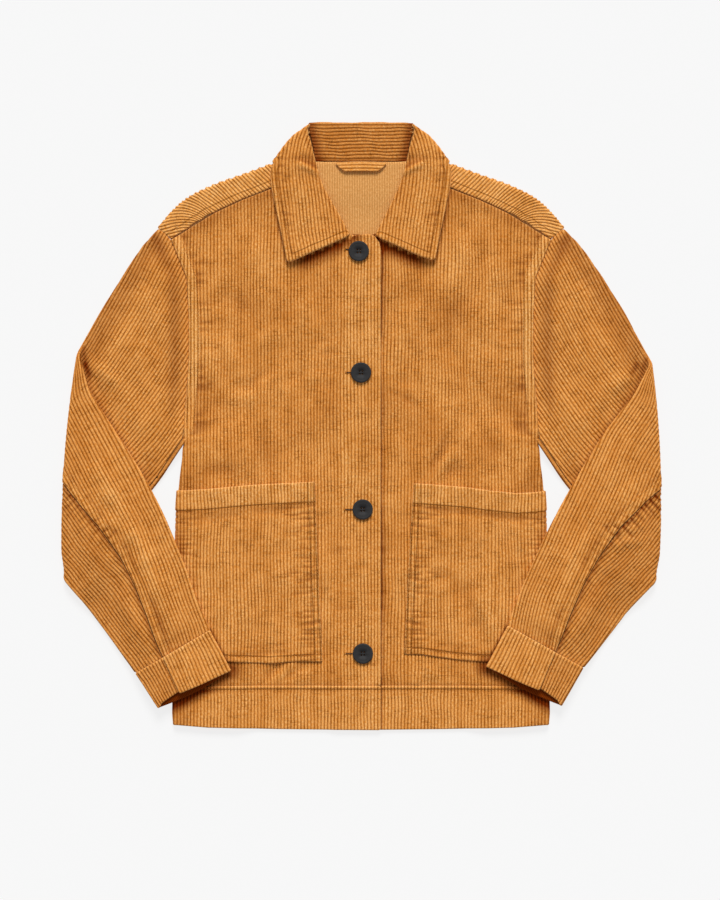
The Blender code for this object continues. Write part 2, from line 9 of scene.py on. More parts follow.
import bpy
import numpy as np
from mathutils.geometry import delaunay_2d_cdt
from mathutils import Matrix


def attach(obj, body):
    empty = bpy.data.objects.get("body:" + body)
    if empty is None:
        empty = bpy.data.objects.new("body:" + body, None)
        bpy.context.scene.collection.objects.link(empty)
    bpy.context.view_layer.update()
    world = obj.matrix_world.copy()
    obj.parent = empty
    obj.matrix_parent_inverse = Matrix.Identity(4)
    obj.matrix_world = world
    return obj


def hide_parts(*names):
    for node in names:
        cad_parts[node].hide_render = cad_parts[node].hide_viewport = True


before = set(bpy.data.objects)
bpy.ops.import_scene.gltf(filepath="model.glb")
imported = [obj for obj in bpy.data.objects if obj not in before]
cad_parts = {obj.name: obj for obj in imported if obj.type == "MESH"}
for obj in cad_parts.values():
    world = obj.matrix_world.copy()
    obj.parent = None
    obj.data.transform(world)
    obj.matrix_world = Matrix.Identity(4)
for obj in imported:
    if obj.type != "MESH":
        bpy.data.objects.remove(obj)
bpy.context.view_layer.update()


# ---------------------------------------------------------------- back
# The plain back, of heavy cotton corduroy about 1.6 mm thick, lies with its
# ribs on the table.  Its sides are tucked under with the fronts, inside them.

MM = 0.001
RIB = 3.6                     # from one rib of the corduroy to the next
SAMPLES = 5                   # points across each rib
CREST, RELIEF = 1.15, 1.2    # top of a rib above the cloth's middle, and its height
WRONG_SIDE = -0.65            # the smooth wrong side, from the cloth's middle
FACE_DOWN = 0.8               # reach of the ribs of cloth that lies on its face
EDGE = 0.9                    # the cut or turned edge rounds off over this
OFF_GRID = 0.0137             # keeps the grid's lines clear of an outline's corners
RIB_STRAY = 0.55              # how far a rib wanders from straight
WRONG_ROW, FOLDED = 9.0, 0.12  # spacing of points on the flat wrong side, and where it is finer
NO_SEAM = 30.0                # distance to stitches where there are none
CLOTH = 1.6                   # thickness of the corduroy
LAYER = 2.1                   # from one layer of cloth to the next one up
HEM_SEAM, UNDERARM, RISE_END = -281.0, -20.0, 25.0
BACK_SEAM = 180.0
TUCK, BACK_TUCK, TUCK_SLOPE = 60.0, 56.0, 30.0
SIDE = ((-328, 198.0), (-309, 199.5), (-100, 195.0), (-70, 193.0), (-40, 189.5), (-20, 187.7))
ARMHOLE = ((-20, 191.7), (25, 188.0), (70, 184.5), (120, 184.5), (160, 187.0), (201.5, 204.0),
           (214, 218.0))


def ease(value):
    """From 0 to 1, softly, as value goes from 0 to 1."""
    value = np.clip(value, 0.0, 1.0)
    return value * value * (3.0 - 2.0 * value)


def faded(value, full, gone):
    """1 at full and before it, 0 at gone and past it, and soft between them."""
    return ease((gone - value) / (gone - full))


def read(table, at, key=0):
    """Straight-line reading of a table of pairs, in order of the key column."""
    rows = np.array(table, float)
    rows = rows[np.argsort(rows[:, key], kind="stable")]
    return np.interp(at, rows[:, key], rows[:, 1 - key])


def level(number):
    """Height of the middle of the cloth in a layer."""
    return CLOTH / 2 + LAYER * number


def side_edge(y):
    """Half width of the body at its side fold, or at the armhole above it."""
    return np.where(y <= UNDERARM, read(SIDE, y), read(ARMHOLE, y))


def tuck_rise(x, y):
    """How far the panels are lifted by the tucked sides below them."""
    inside = side_edge(np.minimum(y, UNDERARM)) - np.abs(x)
    return (2 * LAYER * faded(inside, TUCK, TUCK + TUCK_SLOPE) * faded(inside, 0.0, -TUCK_SLOPE)
            * faded(y, UNDERARM, RISE_END))


def left_of(runs):
    """Unit directions to the left of each run."""
    return np.stack([-runs[:, 1], runs[:, 0]], 1) / np.maximum(np.hypot(*runs.T), 1e-9)[:, None]


def inset_outline(outline, inward):
    """The closed outline, moved inward by a small distance."""
    first = left_of(outline - np.roll(outline, 1, 0))
    second = left_of(np.roll(outline, -1, 0) - outline)
    middle = first + second
    middle /= np.maximum(np.hypot(*middle.T), 1e-9)[:, None]
    stretch = np.maximum((middle * first).sum(1), 0.45)
    return outline + middle * (inward / stretch)[:, None]


def area_of(points):
    """Area inside a closed outline, below zero where it turns rightward."""
    after = np.roll(points, -1, 0)
    return np.sum(points[:, 0] * after[:, 1] - points[:, 1] * after[:, 0]) / 2


def in_steps(points, step=6.0):
    """An open line with points at least every step."""
    points = [np.array(point, float) for point in points]
    made = []
    for a, b in zip(points, points[1:]):
        count = max(1, int(ceil(np.hypot(*(b - a)) / step)))
        made += [a + (b - a) * k / count for k in range(count)]
    return np.array(made + [points[-1]])


def densify(points, step=5.0):
    """The closed outline with a point at least every step, turning leftward."""
    points = np.array(points, float)
    if area_of(points) < 0:
        points = points[::-1]
    return in_steps([*points, points[0]], step)[:-1]


def inside(outline, u, v):
    """Which points lie inside the closed outline."""
    result = np.zeros(u.shape, bool)
    for (u0, v0), (u1, v1) in zip(outline, np.roll(outline, -1, 0)):
        if v0 != v1:
            crosses = (v0 > v) != (v1 > v)
            result ^= crosses & (u < (u1 - u0) * (v - v0) / (v1 - v0) + u0)
    return result


def clip(points, axis, limit, keep_above):
    """Part of a small polygon on one side of a line along a pattern axis."""
    kept = []
    for a, b in zip(points, points[1:] + points[:1]):
        da, db = a[axis] - limit, b[axis] - limit
        if not keep_above:
            da, db = -da, -db
        if da >= 0:
            kept.append(a)
        if (da > 0 > db) or (da < 0 < db):
            share = da / (da - db)
            cross = [a[0] + (b[0] - a[0]) * share, a[1] + (b[1] - a[1]) * share]
            cross[axis] = limit
            kept.append(tuple(cross))
    return kept


def without_spikes(points):
    """A small polygon without the stretches that run out and back on one line."""
    changed = True
    while changed and len(points) > 2:
        changed = False
        for k, b in enumerate(points):
            a, c = points[k - 1], points[(k + 1) % len(points)]
            first, second = (b[0] - a[0], b[1] - a[1]), (c[0] - b[0], c[1] - b[1])
            back = first[0] * second[0] + first[1] * second[1] <= 0
            if back and abs(first[0] * second[1] - first[1] * second[0]) < 1e-9:
                points = points[:k] + points[k + 1:]
                changed = True
                break
    return points


def cut_grid(outline, us, vs):
    """Cuts the outline out of a grid: its full squares and its cut ones."""
    u_grid, v_grid = np.meshgrid(us, vs, indexing="ij")
    within = inside(outline, u_grid, v_grid)
    count = within[:-1, :-1].astype(int) + within[1:, :-1] + within[:-1, 1:] + within[1:, 1:]
    cut = (count > 0) & (count < 4)
    for a, b in zip(outline, np.roll(outline, -1, 0)):
        steps = np.linspace(0, 1, max(2, int(np.hypot(*(b - a)) / 0.1)))[:, None]
        spots = a + (b - a) * steps
        columns = np.clip(np.searchsorted(us, spots[:, 0]) - 1, 0, len(us) - 2)
        rows = np.clip(np.searchsorted(vs, spots[:, 1]) - 1, 0, len(vs) - 2)
        cut[columns, rows] = True
    full = np.argwhere((count == 4) & ~cut)
    polygons = []
    corners = [tuple(point) for point in outline]
    for i in np.unique(np.argwhere(cut)[:, 0]):
        strip = clip(clip(corners, 0, us[i], True), 0, us[i + 1], False)
        if len(strip) < 3:
            continue
        for j in np.flatnonzero(cut[i]):
            part = without_spikes(clip(clip(strip, 1, vs[j], True), 1, vs[j + 1], False))
            if len(part) > 2:
                polygons.append(part)
    return full, polygons, within


def weld(full, polygons, us, vs):
    """Points and faces of the cut grid, with shared points made one."""
    i, j = full[:, 0], full[:, 1]
    squares = np.stack([np.stack([us[i + a], vs[j + b]], 1)
                        for a, b in ((0, 0), (1, 0), (1, 1), (0, 1))], 1).reshape(-1, 2)
    loose = np.array([point for part in polygons for point in part]).reshape(-1, 2)
    every = np.concatenate([squares, loose])
    keys = np.round(every * 20_000).astype(np.int64) + 20_000_000
    keys = keys[:, 0] * 40_000_000 + keys[:, 1]
    _, first, index = np.unique(keys, return_index=True, return_inverse=True)
    faces = [tuple(row) for row in index[:len(squares)].reshape(-1, 4)]
    at = len(squares)
    for part in polygons:
        ring = []
        for k in index[at:at + len(part)]:
            if not ring or ring[-1] != k:
                ring.append(k)
        at += len(part)
        if len(ring) > 1 and ring[0] == ring[-1]:
            ring.pop()
        if len(ring) > 2 and len(set(ring)) == len(ring):
            if area_of(every[first[ring]]) > 5e-9:
                faces.append(tuple(ring))
    return every[first], faces


def outer_edges(faces):
    """Directed edges that only one face has."""
    edges = {}
    for face in faces:
        for a, b in zip(face, face[1:] + face[:1]):
            edges[(a, b)] = True
    return [(a, b) for a, b in edges if (b, a) not in edges]


def surface(lay, u, v):
    """Laid middle of the cloth, and the direction out of its right side."""
    small = 0.3
    middle = lay(u, v)
    across = lay(u + small, v) - lay(u - small, v)
    along = lay(u, v + small) - lay(u, v - small)
    out = np.cross(across, along)
    out /= np.maximum(np.linalg.norm(out, axis=1), 1e-9)[:, None]
    return middle, out


def rib_height(u):
    """Height of the ribs, from 0 in the valley to 1 on the crest."""
    from_crest = np.abs((u / RIB) % 1.0 - 0.5) * 2
    return np.sqrt(np.maximum(0.0, 1.0 - from_crest ** 2.4))


def segment_distance(line, u, v):
    """Distance from points to an open line of points."""
    nearest = np.full(u.shape, 1e9)
    line = np.array(line, float)
    for a, b in zip(line, line[1:]):
        run = b - a
        share = np.clip(((u - a[0]) * run[0] + (v - a[1]) * run[1]) / (run @ run), 0, 1)
        nearest = np.minimum(nearest, np.hypot(u - a[0] - run[0] * share, v - a[1] - run[1] * share))
    return nearest


def ripple(x, y, seed, length):
    """Smooth irregular waves, of about that length and mostly within 1 of zero."""
    chance = np.random.default_rng(seed)
    total = 0.0
    for angle, stretch, start in zip(chance.uniform(0, pi, 6), chance.uniform(0.6, 1.5, 6),
                                     chance.uniform(0, 2 * pi, 6)):
        along = (x * cos(angle) + y * sin(angle)) * 2 * pi / (length * stretch)
        total = total + np.sin(along + start)
    return total / 2.2


def relaxed(lay, outline, seed):
    """The lay of a panel whose ribs stray a little from straight, away from its edges."""
    closed = np.vstack([outline, outline[:1]])

    def soft(u, v):
        free = faded(segment_distance(closed, u, v), 19, 3)
        stray = ripple(u, v * 0.6, seed, 62) + 0.22 * ripple(u, v, seed + 1, 24)
        return lay(u + RIB_STRAY * free * stray, v)
    return soft


def grid_lines(low, high, row):
    """Places of the cloth's grid: some for each rib across it, and a row apart along it."""
    step = RIB / SAMPLES
    return (np.arange(floor(low[0] / step) - 1, ceil(high[0] / step) + 2) * step + OFF_GRID,
            np.arange(floor(low[1] / row) - 1, ceil(high[1] / row) + 2) * row + OFF_GRID)


def out_to_edge(inner, rim):
    """Points of the rim moved straight out from the nearest side of the inner outline."""
    best = np.full(len(rim), 1e9)
    push = np.zeros_like(rim)
    for a, b in zip(inner, np.roll(inner, -1, 0)):
        run = b - a
        share = np.clip(((rim - a) @ run) / max(run @ run, 1e-9), 0, 1)
        gap = np.hypot(*(rim - a - run * share[:, None]).T)
        nearer = gap < best
        best[nearer] = gap[nearer]
        push[nearer] = np.array([run[1], -run[0]]) / max(np.hypot(*run), 1e-9)
    return rim + push * EDGE


def wrong_side(lay, inner, lines, within, rim, rim_edges):
    """The smooth side: its points in the pattern, its triangles, and its point at each
    point of the rim.  It is sparse where it is flat and as fine as needed at folds."""
    coarse = np.zeros(within.shape, bool)
    coarse[::SAMPLES, ::max(1, int(round(WRONG_ROW / np.diff(lines[1]).mean())))] = True
    u_grid, v_grid = np.meshgrid(*lines, indexing="ij")
    facing = np.zeros(within.shape + (3,))
    facing[within] = surface(lay, u_grid[within], v_grid[within])[1]
    turn = np.zeros(within.shape)
    turn[2:-2] = np.linalg.norm(facing[4:] - facing[:-4], axis=2)
    turn[:, 1:-1] = np.maximum(turn[:, 1:-1], np.linalg.norm(facing[:, 2:] - facing[:, :-2], axis=2))
    keep = within & (coarse | (turn > FOLDED))
    u, v = u_grid[keep], v_grid[keep]
    free = segment_distance(np.vstack([inner, inner[:1]]), u, v) > 0.8
    points = [tuple(point) for point in np.concatenate([rim, np.stack([u[free], v[free]], 1)])]
    found, _, triangles, origin, _, _ = delaunay_2d_cdt(points, rim_edges, [], 1, 1e-6)
    at = {name: k for k, names in enumerate(origin) for name in names}
    return np.array([tuple(point) for point in found]), triangles, at


def make_shell(name, outline, lay, row=4.0, crest=CREST, wrong=WRONG_SIDE, flip=1, seams=(),
               thicker=None, mirrored=False, seed=0, painted_light_and_nap=None):
    """One panel of ribbed cloth as a closed shell.

    outline is in the flat pattern, with the ribs along v.  lay puts a pattern
    point on the middle of the laid cloth.  flip is -1 where the right side is
    the underside of lay.  seams give the signed distance to rows of stitches,
    and the last argument the painted light and shade, some of it the lie of the
    nap, from -1 to 1, in the pattern and as laid."""
    if seed:
        lay = relaxed(lay, np.array(outline, float), seed)
    outline = densify(outline)
    inner = inset_outline(outline, EDGE)
    lines = grid_lines(inner.min(0), inner.max(0), row)
    full, polygons, within = cut_grid(inner, *lines)
    flat, faces = weld(full, polygons, *lines)
    rim = outer_edges(faces)

    middle, out = surface(lay, *flat.T)
    out *= flip
    lift = crest - RELIEF * (1.0 - rib_height(flat[:, 0]))
    if thicker:
        lift = lift + thicker(*flat.T)
    top = middle + out * lift[:, None]

    at_rim = sorted({a for a, _ in rim})
    place = {k: n for n, k in enumerate(at_rim)}
    outer_flat = out_to_edge(inner, flat[at_rim])
    outer = surface(lay, *outer_flat.T)[0] + out[at_rim] * ((crest + wrong) / 2)
    under_flat, triangles, index_of = wrong_side(lay, inner, lines, within, flat[at_rim],
                                                 [(place[a], place[b]) for a, b in rim])
    under_middle, under_out = surface(lay, *under_flat.T)
    under_side = under_middle + under_out * flip * wrong

    count, rings = len(flat), len(at_rim)
    points = np.concatenate([top, outer, under_side]) * MM
    if mirrored:
        points[:, 0] *= -1
    base = count + rings
    under_at = {k: base + index_of[place[k]] for k in at_rim}
    every = list(faces)
    for a, b in rim:
        every.append((b, a, count + place[a], count + place[b]))
        every.append((count + place[b], count + place[a], under_at[a], under_at[b]))
    every += [(base + t[2], base + t[1], base + t[0]) for t in triangles]
    if (flip < 0) != mirrored:
        every = [face[::-1] for face in every]
    mesh = bpy.data.meshes.new(name)
    mesh.from_pydata(points.tolist(), [], [tuple(int(k) for k in face) for face in every])
    uv_all = np.concatenate([flat, outer_flat, under_flat])
    corner = np.zeros(len(mesh.loops), np.int32)
    mesh.loops.foreach_get("vertex_index", corner)
    mesh.uv_layers.new(name="cloth").data.foreach_set("uv", uv_all[corner].astype(np.float32).ravel())
    side = np.concatenate([np.ones(count), np.full(rings, 0.5), np.zeros(len(under_flat))])
    laid_x, laid_y = np.concatenate([top, outer, under_side])[:, :2].T
    shade = painted_light_and_nap(*uv_all.T, laid_x, laid_y) if painted_light_and_nap else side * 0
    sewn = [("seam_%d" % k, seams[k](*uv_all.T) if k < len(seams) else side * 0 + NO_SEAM)
            for k in range(3)]
    for key, values in [("right_side", side), ("painted_light_and_nap", shade)] + sewn:
        mesh.attributes.new(key, "FLOAT", "POINT").data.foreach_set("value", values.astype(np.float32))
    mesh.validate(clean_customdata=False)
    mesh.shade_smooth()
    piece = bpy.data.objects.new(name, mesh)
    piece["cut"] = [*(np.ptp(outline, 0) * MM), area_of(outline) * MM * MM]
    bpy.context.scene.collection.objects.link(piece)
    return piece


def new_material(name, roughness, specular):
    """A material, its node tree, and its shader with these plain values."""
    material = bpy.data.materials.new(name)
    material.use_nodes = True
    shader = material.node_tree.nodes["Principled BSDF"]
    shader.inputs["Roughness"].default_value = roughness
    shader.inputs["Specular IOR Level"].default_value = specular
    return material, material.node_tree, shader


def node(kind, inputs=(), **settings):
    """A node in the tree being built, with values or other nodes' sockets put in."""
    made = tree.nodes.new(kind)
    for key, value in settings.items():
        setattr(made, key, value)
    for key, value in inputs:
        if isinstance(value, bpy.types.NodeSocket):
            tree.links.new(value, made.inputs[key])
        else:
            made.inputs[key].default_value = value
    return made


def arithmetic(operation, first, second=0.0, third=0.0):
    return node("ShaderNodeMath", ((0, first), (1, second), (2, third)), operation=operation).outputs[0]


def times(first, second):
    return arithmetic("MULTIPLY", first, second)


def away_from(value, middle):
    return arithmetic("ABSOLUTE", arithmetic("SUBTRACT", value, middle))


def mask(value, low, high):
    """0 below low and 1 above high, softly; the other way round when low is more."""
    return node("ShaderNodeMapRange", ((0, value), (1, low), (2, high)),
                interpolation_type="SMOOTHSTEP").outputs[0]


def tint(amount, first, second, blend="MIX"):
    mix = node("ShaderNodeMix", ((0, amount), (6, first), (7, second)), data_type="RGBA",
               blend_type=blend)
    return mix.outputs[2]


def noise(place, scale=1.0, detail=2.0, roughness=0.5):
    return node("ShaderNodeTexNoise", (("Vector", place), ("Scale", scale), ("Detail", detail),
                                       ("Roughness", roughness))).outputs[0]


def on_cloth(across, along):
    """Places on the cloth's own pattern, that many to a millimetre across and along the ribs."""
    return node("ShaderNodeMapping", (("Vector", cloth_map), ("Scale", (across, along, 1.0)))).outputs[0]


def kept_value(key):
    """A value that the mesh holds at each of its points."""
    return node("ShaderNodeAttribute", attribute_name=key).outputs["Fac"]


corduroy, tree, shader = new_material("tan corduroy", 0.92, 0.02)
shader.inputs["Sheen Weight"].default_value = 0.04
shader.inputs["Sheen Roughness"].default_value = 0.6
shader.inputs["Sheen Tint"].default_value = (1.0, 0.6, 0.25, 1.0)

cloth_map = node("ShaderNodeUVMap", uv_map="cloth").outputs[0]
across_ribs = node("ShaderNodeSeparateXYZ", ((0, cloth_map),)).outputs[0]
position = node("ShaderNodeNewGeometry").outputs["Position"]
cloud = noise(position, 22.0, 3.0)
patch = noise(position, 90.0, 4.0)
fibre = noise(on_cloth(0.9, 0.34), detail=3.0)
tuft = noise(on_cloth(0.27, 1.25))
streak = noise(on_cloth(0.11, 0.014), detail=3.0)
right = kept_value("right_side")
to_seams = [arithmetic("ABSOLUTE", kept_value("seam_%d" % k)) for k in range(3)]
seam = arithmetic("MINIMUM", arithmetic("MINIMUM", to_seams[0], to_seams[1]), to_seams[2])
# Fine crosswise wrinkles in the pile, in patches: bumped down, and painted darker for the shade in them
wrinkle = mask(away_from(noise(on_cloth(0.016, 0.26), detail=3.0, roughness=0.6), 0.5), 0.012, 0.0)
wrinkle = times(times(wrinkle, mask(patch, 0.42, 0.62)), mask(right, 0.2, 0.5))

# The right side: pile, brushed darker or lighter in places, with painted shade between the ribs and in the
# fine wrinkles
phase = arithmetic("FRACT", times(across_ribs, 1 / RIB))
valley = mask(times(away_from(phase, 0.5), 2.0), 0.30, 1.0)
valley = times(valley, arithmetic("ADD", 0.70, times(mask(patch, 0.35, 0.65), 0.26)))
pile = tint(mask(fibre, 0.3, 0.72), (0.73, 0.262, 0.040, 1), (0.97, 0.495, 0.155, 1))
pile = tint(times(mask(tuft, 0.60, 0.36), 0.30), pile, (0.50, 0.165, 0.02, 1))
pile = tint(times(mask(cloud, 0.35, 0.7), 0.30), pile, (0.62, 0.205, 0.026, 1))
pile = tint(times(mask(streak, 0.50, 0.68), 0.34), pile, (0.56, 0.19, 0.026, 1))
pile = tint(times(mask(streak, 0.48, 0.32), 0.16), pile, (0.98, 0.51, 0.16, 1))
pile = tint(valley, pile, (0.272, 0.062, 0.0, 1))
pile = tint(times(wrinkle, 0.42), pile, (0.28, 0.066, 0.0, 1))

# The wrong side: plain woven, with a fine line for each warp thread
half_phase = arithmetic("FRACT", times(across_ribs, 2 / RIB))
woven = tint(mask(fibre, 0.35, 0.7), (0.74, 0.35, 0.105, 1), (0.92, 0.49, 0.175, 1))
woven = tint(times(mask(away_from(half_phase, 0.5), 0.15, 0.5), 0.95), woven, (0.40, 0.155, 0.03, 1))

# Both, with a paler cream edge between them, the stitched grooves, and the painted light and shade kept at
# each point, some of it the lie of the nap
colour = tint(mask(right, 0.15, 0.45), woven, pile)
colour = tint(times(mask(away_from(right, 0.5), 0.48, 0.1), 0.45), colour, (0.80, 0.44, 0.15, 1))
# Painted shade in the stitched grooves, which the bump below also sinks
groove = mask(seam, 1.1, 0.2)
colour = tint(times(groove, 0.55), colour, (0.24, 0.062, 0.002, 1))
# Painted light and shade kept at each point (shadows under the collar and cuffs, shade in creases, puckers
# and beside seams, lit edges and ridges), some of it the lie of the nap; it darkens or lightens the colour
painted_light_and_nap = kept_value("painted_light_and_nap")
darker = node("ShaderNodeMapRange", ((0, painted_light_and_nap), (1, 0.0), (2, -1.4))).outputs[0]
lighter = node("ShaderNodeMapRange", ((0, painted_light_and_nap), (1, 0.0), (2, 1.0))).outputs[0]
colour = tint(darker, colour, (0.25, 0.085, 0.012, 1), "MULTIPLY")
colour = tint(lighter, colour, (1.15, 1.36, 1.75, 1), "MULTIPLY")
tree.links.new(colour, shader.inputs["Base Color"])
height = times(fibre, 0.45)
height = arithmetic("ADD", height, times(patch, 0.25))
height = arithmetic("ADD", height, times(tuft, 0.35))
height = arithmetic("SUBTRACT", height, times(groove, 0.9))
height = arithmetic("SUBTRACT", height, times(wrinkle, 0.5))
bumps = node("ShaderNodeBump", (("Height", height), ("Strength", 0.6), ("Distance", MM)))
tree.links.new(bumps.outputs[0], shader.inputs["Normal"])


def declare(piece, cad_node):
    """The piece as the frame has it: what it stands for and what it is cut from."""
    piece.data.materials.append(corduroy)
    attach(piece, "root")
    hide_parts(cad_node)


WRAP = SIDE + ((-6, 191.5), (12, 230.0), (400, 230.0))


def body_lay(fold_radius, rise):
    """Lays a body panel flat to its side fold, round it, and back underneath."""
    def lay(u, v):
        across, sign = np.abs(u), np.where(u < 0, -1.0, 1.0)
        edge = read(WRAP, v)
        beyond = across - edge
        turn = np.clip(beyond / fold_radius, 0.0, pi)
        x = np.minimum(across, edge) + fold_radius * np.sin(turn)
        x -= np.maximum(beyond - pi * fold_radius, 0.0)
        z = np.where(beyond > 0, level(1.5) + fold_radius * np.cos(turn), rise(across, v))
        return np.stack([sign * x, v, z], 1)
    return lay


def both_halves(half):
    """A closed outline from its half, which starts at the middle or ends there."""
    return half + [(-x, y) for x, y in reversed(half)]


SIDE_ROWS = (HEM_SEAM + 0.3, -200, -100, -70, -40, UNDERARM)
BACK_WIDER = pi * LAYER / 2 + BACK_TUCK  # from the side fold to the back's hidden edge
half = [(float(read(SIDE, y)) + BACK_WIDER, y) for y in SIDE_ROWS]
half += [(189.5, UNDERARM), (189.0, 8.0)]
half += [(float(read(ARMHOLE, y)) - 0.3, y) for y in (40, 70, 120, 160, BACK_SEAM - 0.3)]
back_lay = body_lay(LAYER / 2, lambda x, y: level(0) + tuck_rise(x, y))
back = make_shell("back_cloth", both_halves(half), back_lay, row=18.0, crest=FACE_DOWN, flip=-1)
declare(back, "back")


# ---------------------------------------------------------------- hem band of the back
# The same corduroy, sewn on across the bottom and tucked in with the back.

HEM = ((0, -328), (90, -327), (165, -325), (202, -322), (300, -322))


def hem_line(*places):
    """Points of the hem's lower edge, at these distances from the middle."""
    return [(x, float(read(HEM, x))) for x in places]


half = hem_line(0, 60, 90, 130, 165, 185, 198)
half += [(198 + BACK_WIDER, -322.5), (199.2 + BACK_WIDER, HEM_SEAM - 0.3)]
band = make_shell("hem_band_back_cloth", both_halves(half), back_lay, row=6.0, crest=FACE_DOWN, flip=-1)
declare(band, "hem_band_back")


# ---------------------------------------------------------------- fronts
# Two fronts of the corduroy, ribs running up and down, sewn to the yoke above
# and to the sleeves.  The wearer's right one laps over the other.

FRONT_FOLD = 1.5 * LAYER      # radius of the outer panel at the side fold
OVERLAP, LAP_FULL, LAP_START = 21.6, 24.0, 40.0
ARM_ROWS = (1.8, 9.6)         # rows of stitches beside the armhole, from its edge
YOKE_SEAM = ((55, 272.0), (128, 244.0), (158, 230.0), (186.5, 212.5), (204, 201.5))


def bump(value, top, width):
    """1 at top, falling off softly on both sides."""
    return np.exp(-((value - top) / width) ** 2)


def neck_rise(x, y):
    """How far the panels near the neck are lifted by the collar's fall."""
    return LAYER * faded(y, 255, 225) * faded(np.abs(x), 95, 125)


def creases(table, x, y):
    """Height of soft folds: each from one point to another, with its width and height."""
    total = np.zeros(np.shape(x))
    for x0, y0, x1, y1, width, height in table:
        run_x, run_y = x1 - x0, y1 - y0
        length = hypot(run_x, run_y)
        along = ((x - x0) * run_x + (y - y0) * run_y) / length / length
        side = ((x - x0) * run_y - (y - y0) * run_x) / length
        side = side + 0.12 * width * np.sin(along * 7.0)
        taper = ease(along * 2.5 + 0.35) * ease((1.0 - along) * 2.5 + 0.35)
        total += height * bump(side, 0, width) * taper
    return total


def puckers(along, away, reach, start, spacing=5.6):
    """Short creases that run off a row of stitches, from 0 to about 1 deep."""
    turn = along / spacing * 2 * pi + away * (0.05 + 0.05 * sin(start))
    turn = turn + 1.9 * np.sin(along * 0.17 + start) + 1.1 * np.sin(along * 0.41 + 2 * start)
    length = reach * (0.78 + 0.22 * np.sin(along * 0.29 + 3 * start))
    depth = 0.78 + 0.22 * np.sin(along * 0.11 + 5 * start)
    return 1.35 * ease(1.2 * np.sin(turn)) ** 1.6 * depth * ease(1.15 - np.abs(away) / length)


def arm_puckers(y, gap):
    """Puckers beside the armhole's inner row of stitches."""
    return puckers(y, gap - 10, 26, 0.4) * faded(gap, 11, 9)


def placket_puckers(x, y):
    """Puckers across the front edge, on both sides of its middle."""
    return puckers(y, np.abs(x) - 10, 26, 0.9, 6.4) * (np.abs(x) < 60)


FRONT_CREASES = {
    "right": ((130, 40, 94, 61, 6, -1.3), (86, 46, 60, 57, 6, -1.2), (150, 36, 112, 26, 8, 1.2),
              (176, -44, 128, -53, 9, -2.2), (156, 146, 122, 124, 10, -1.8), (178, 120, 152, 34, 9, 2.0),
              (120, 200, 96, 120, 14, 1.4), (106, -273, 84, -257, 5, -2.0), (82, -273, 60, -257, 5, -2.0),
              (94, -274, 72, -258, 4, 1.5), (60, 150, 52, 20, 12, 1.2), (110, 0, 96, -56, 10, -1.4),
              (148, 96, 130, 50, 9, 1.5), (40, -120, 34, -240, 9, 1.2), (120, 92, 80, 100, 8, 1.0),
              (62, 76, 18, 80, 3, -0.9), (58, 62, 18, 60, 3, -0.9), (66, 42, 18, 46, 3, -0.8),
              (52, 90, 20, 96, 3, -0.7), (60, -84, 20, -80, 3, -0.7), (56, -100, 22, -98, 3, -0.6)),
    "left": ((76, -52, 92, -10, 6, -2.6), (90, -54, 112, -45, 6, -2.0), (84, -50, 104, -24, 6, 2.0),
             (44, 28, 64, 22, 6, -1.6), (54, 128, 30, 44, 10, 1.6), (104, -168, 132, -226, 11, -2.4),
             (78, -170, 96, -158, 7, -1.6), (120, -180, 146, -230, 9, 1.8), (176, 130, 158, 40, 9, 1.6),
             (112, 205, 92, 130, 14, 1.4), (100, 140, 92, 60, 10, -1.5), (148, 185, 126, 70, 13, 1.2),
             (126, -8, 150, -30, 8, -1.4), (70, -262, 92, -280, 5, 1.4), (56, -120, 36, -210, 8, 1.2),
             (26, 72, 58, 64, 3, -0.9), (26, 52, 62, 46, 3, -0.8), (26, 38, 56, 28, 3, -0.8),
             (26, 92, 50, 88, 3, -0.7)),
}


def front_rise(hand, upper):
    """Height of a front's middle over the table, the upper one above its lap."""
    def rise(x, y):
        lap = LAYER * faded(x, LAP_FULL, LAP_START) if upper else 0.0
        wave = 0.5 + 0.4 * ripple(x, y, 5 + upper, 70) + 0.2 * ripple(x, y, 7 + upper, 30)
        soft = creases(FRONT_CREASES[hand], x, y) + np.maximum(wave, 0)
        soft = soft * faded(x, 23, 15) * faded(x, 163, 188) * faded(y, HEM_SEAM + 12, HEM_SEAM)
        over_sleeve = 1.7 * faded(x - read(ARMHOLE, y), -2, -11) * faded(y, 22, -8)
        return level(1) + tuck_rise(x, y) + neck_rise(x, y + 12) + lap + over_sleeve + soft
    return rise


def front_outline():
    side = [(float(read(SIDE, y)) + pi * FRONT_FOLD + TUCK, y) for y in SIDE_ROWS]
    arm = [(192.5, UNDERARM), (191.5, -4.0)]
    arm += [(float(read(ARMHOLE, y)) + 1.3, y) for y in (15, 25, 45, 70, 120, 140, 160, 180, 198)]
    top = [(205.3, 201.0), (204, 201.2), (186.5, 212.2), (158, 229.7), (128, 243.7), (90, 258.2),
           (55, 271.7)]
    neck = [(45, 240), (25, 212), (10, 205.5), (-8, 207), (-15, 204.5), (-20, 198), (-OVERLAP, 189)]
    return side + arm + top + neck + [(-OVERLAP, HEM_SEAM + 0.3)]


def face_down(x, y):
    """The ribs of the tucked strip are pressed on the table."""
    return (FACE_DOWN - CREST) * faded(x - read(WRAP, y), 10, 4)


def felled(x, y):
    """What stands up on a front: the armhole's felled seam, with puckers beside it."""
    gap = segment_distance(ARM_LINE, x, y)
    return (face_down(x, y) + 0.75 * faded(gap, 8.5, 10.5) * faded(y, -2, -14)
            - 0.5 * arm_puckers(y, gap) * (x > 100) - 0.3 * placket_puckers(x, y))


ARM_LINE = [(float(read(ARMHOLE, y)), y) for y in (0, 25, 70, 120, 160, 190, 201.5)]
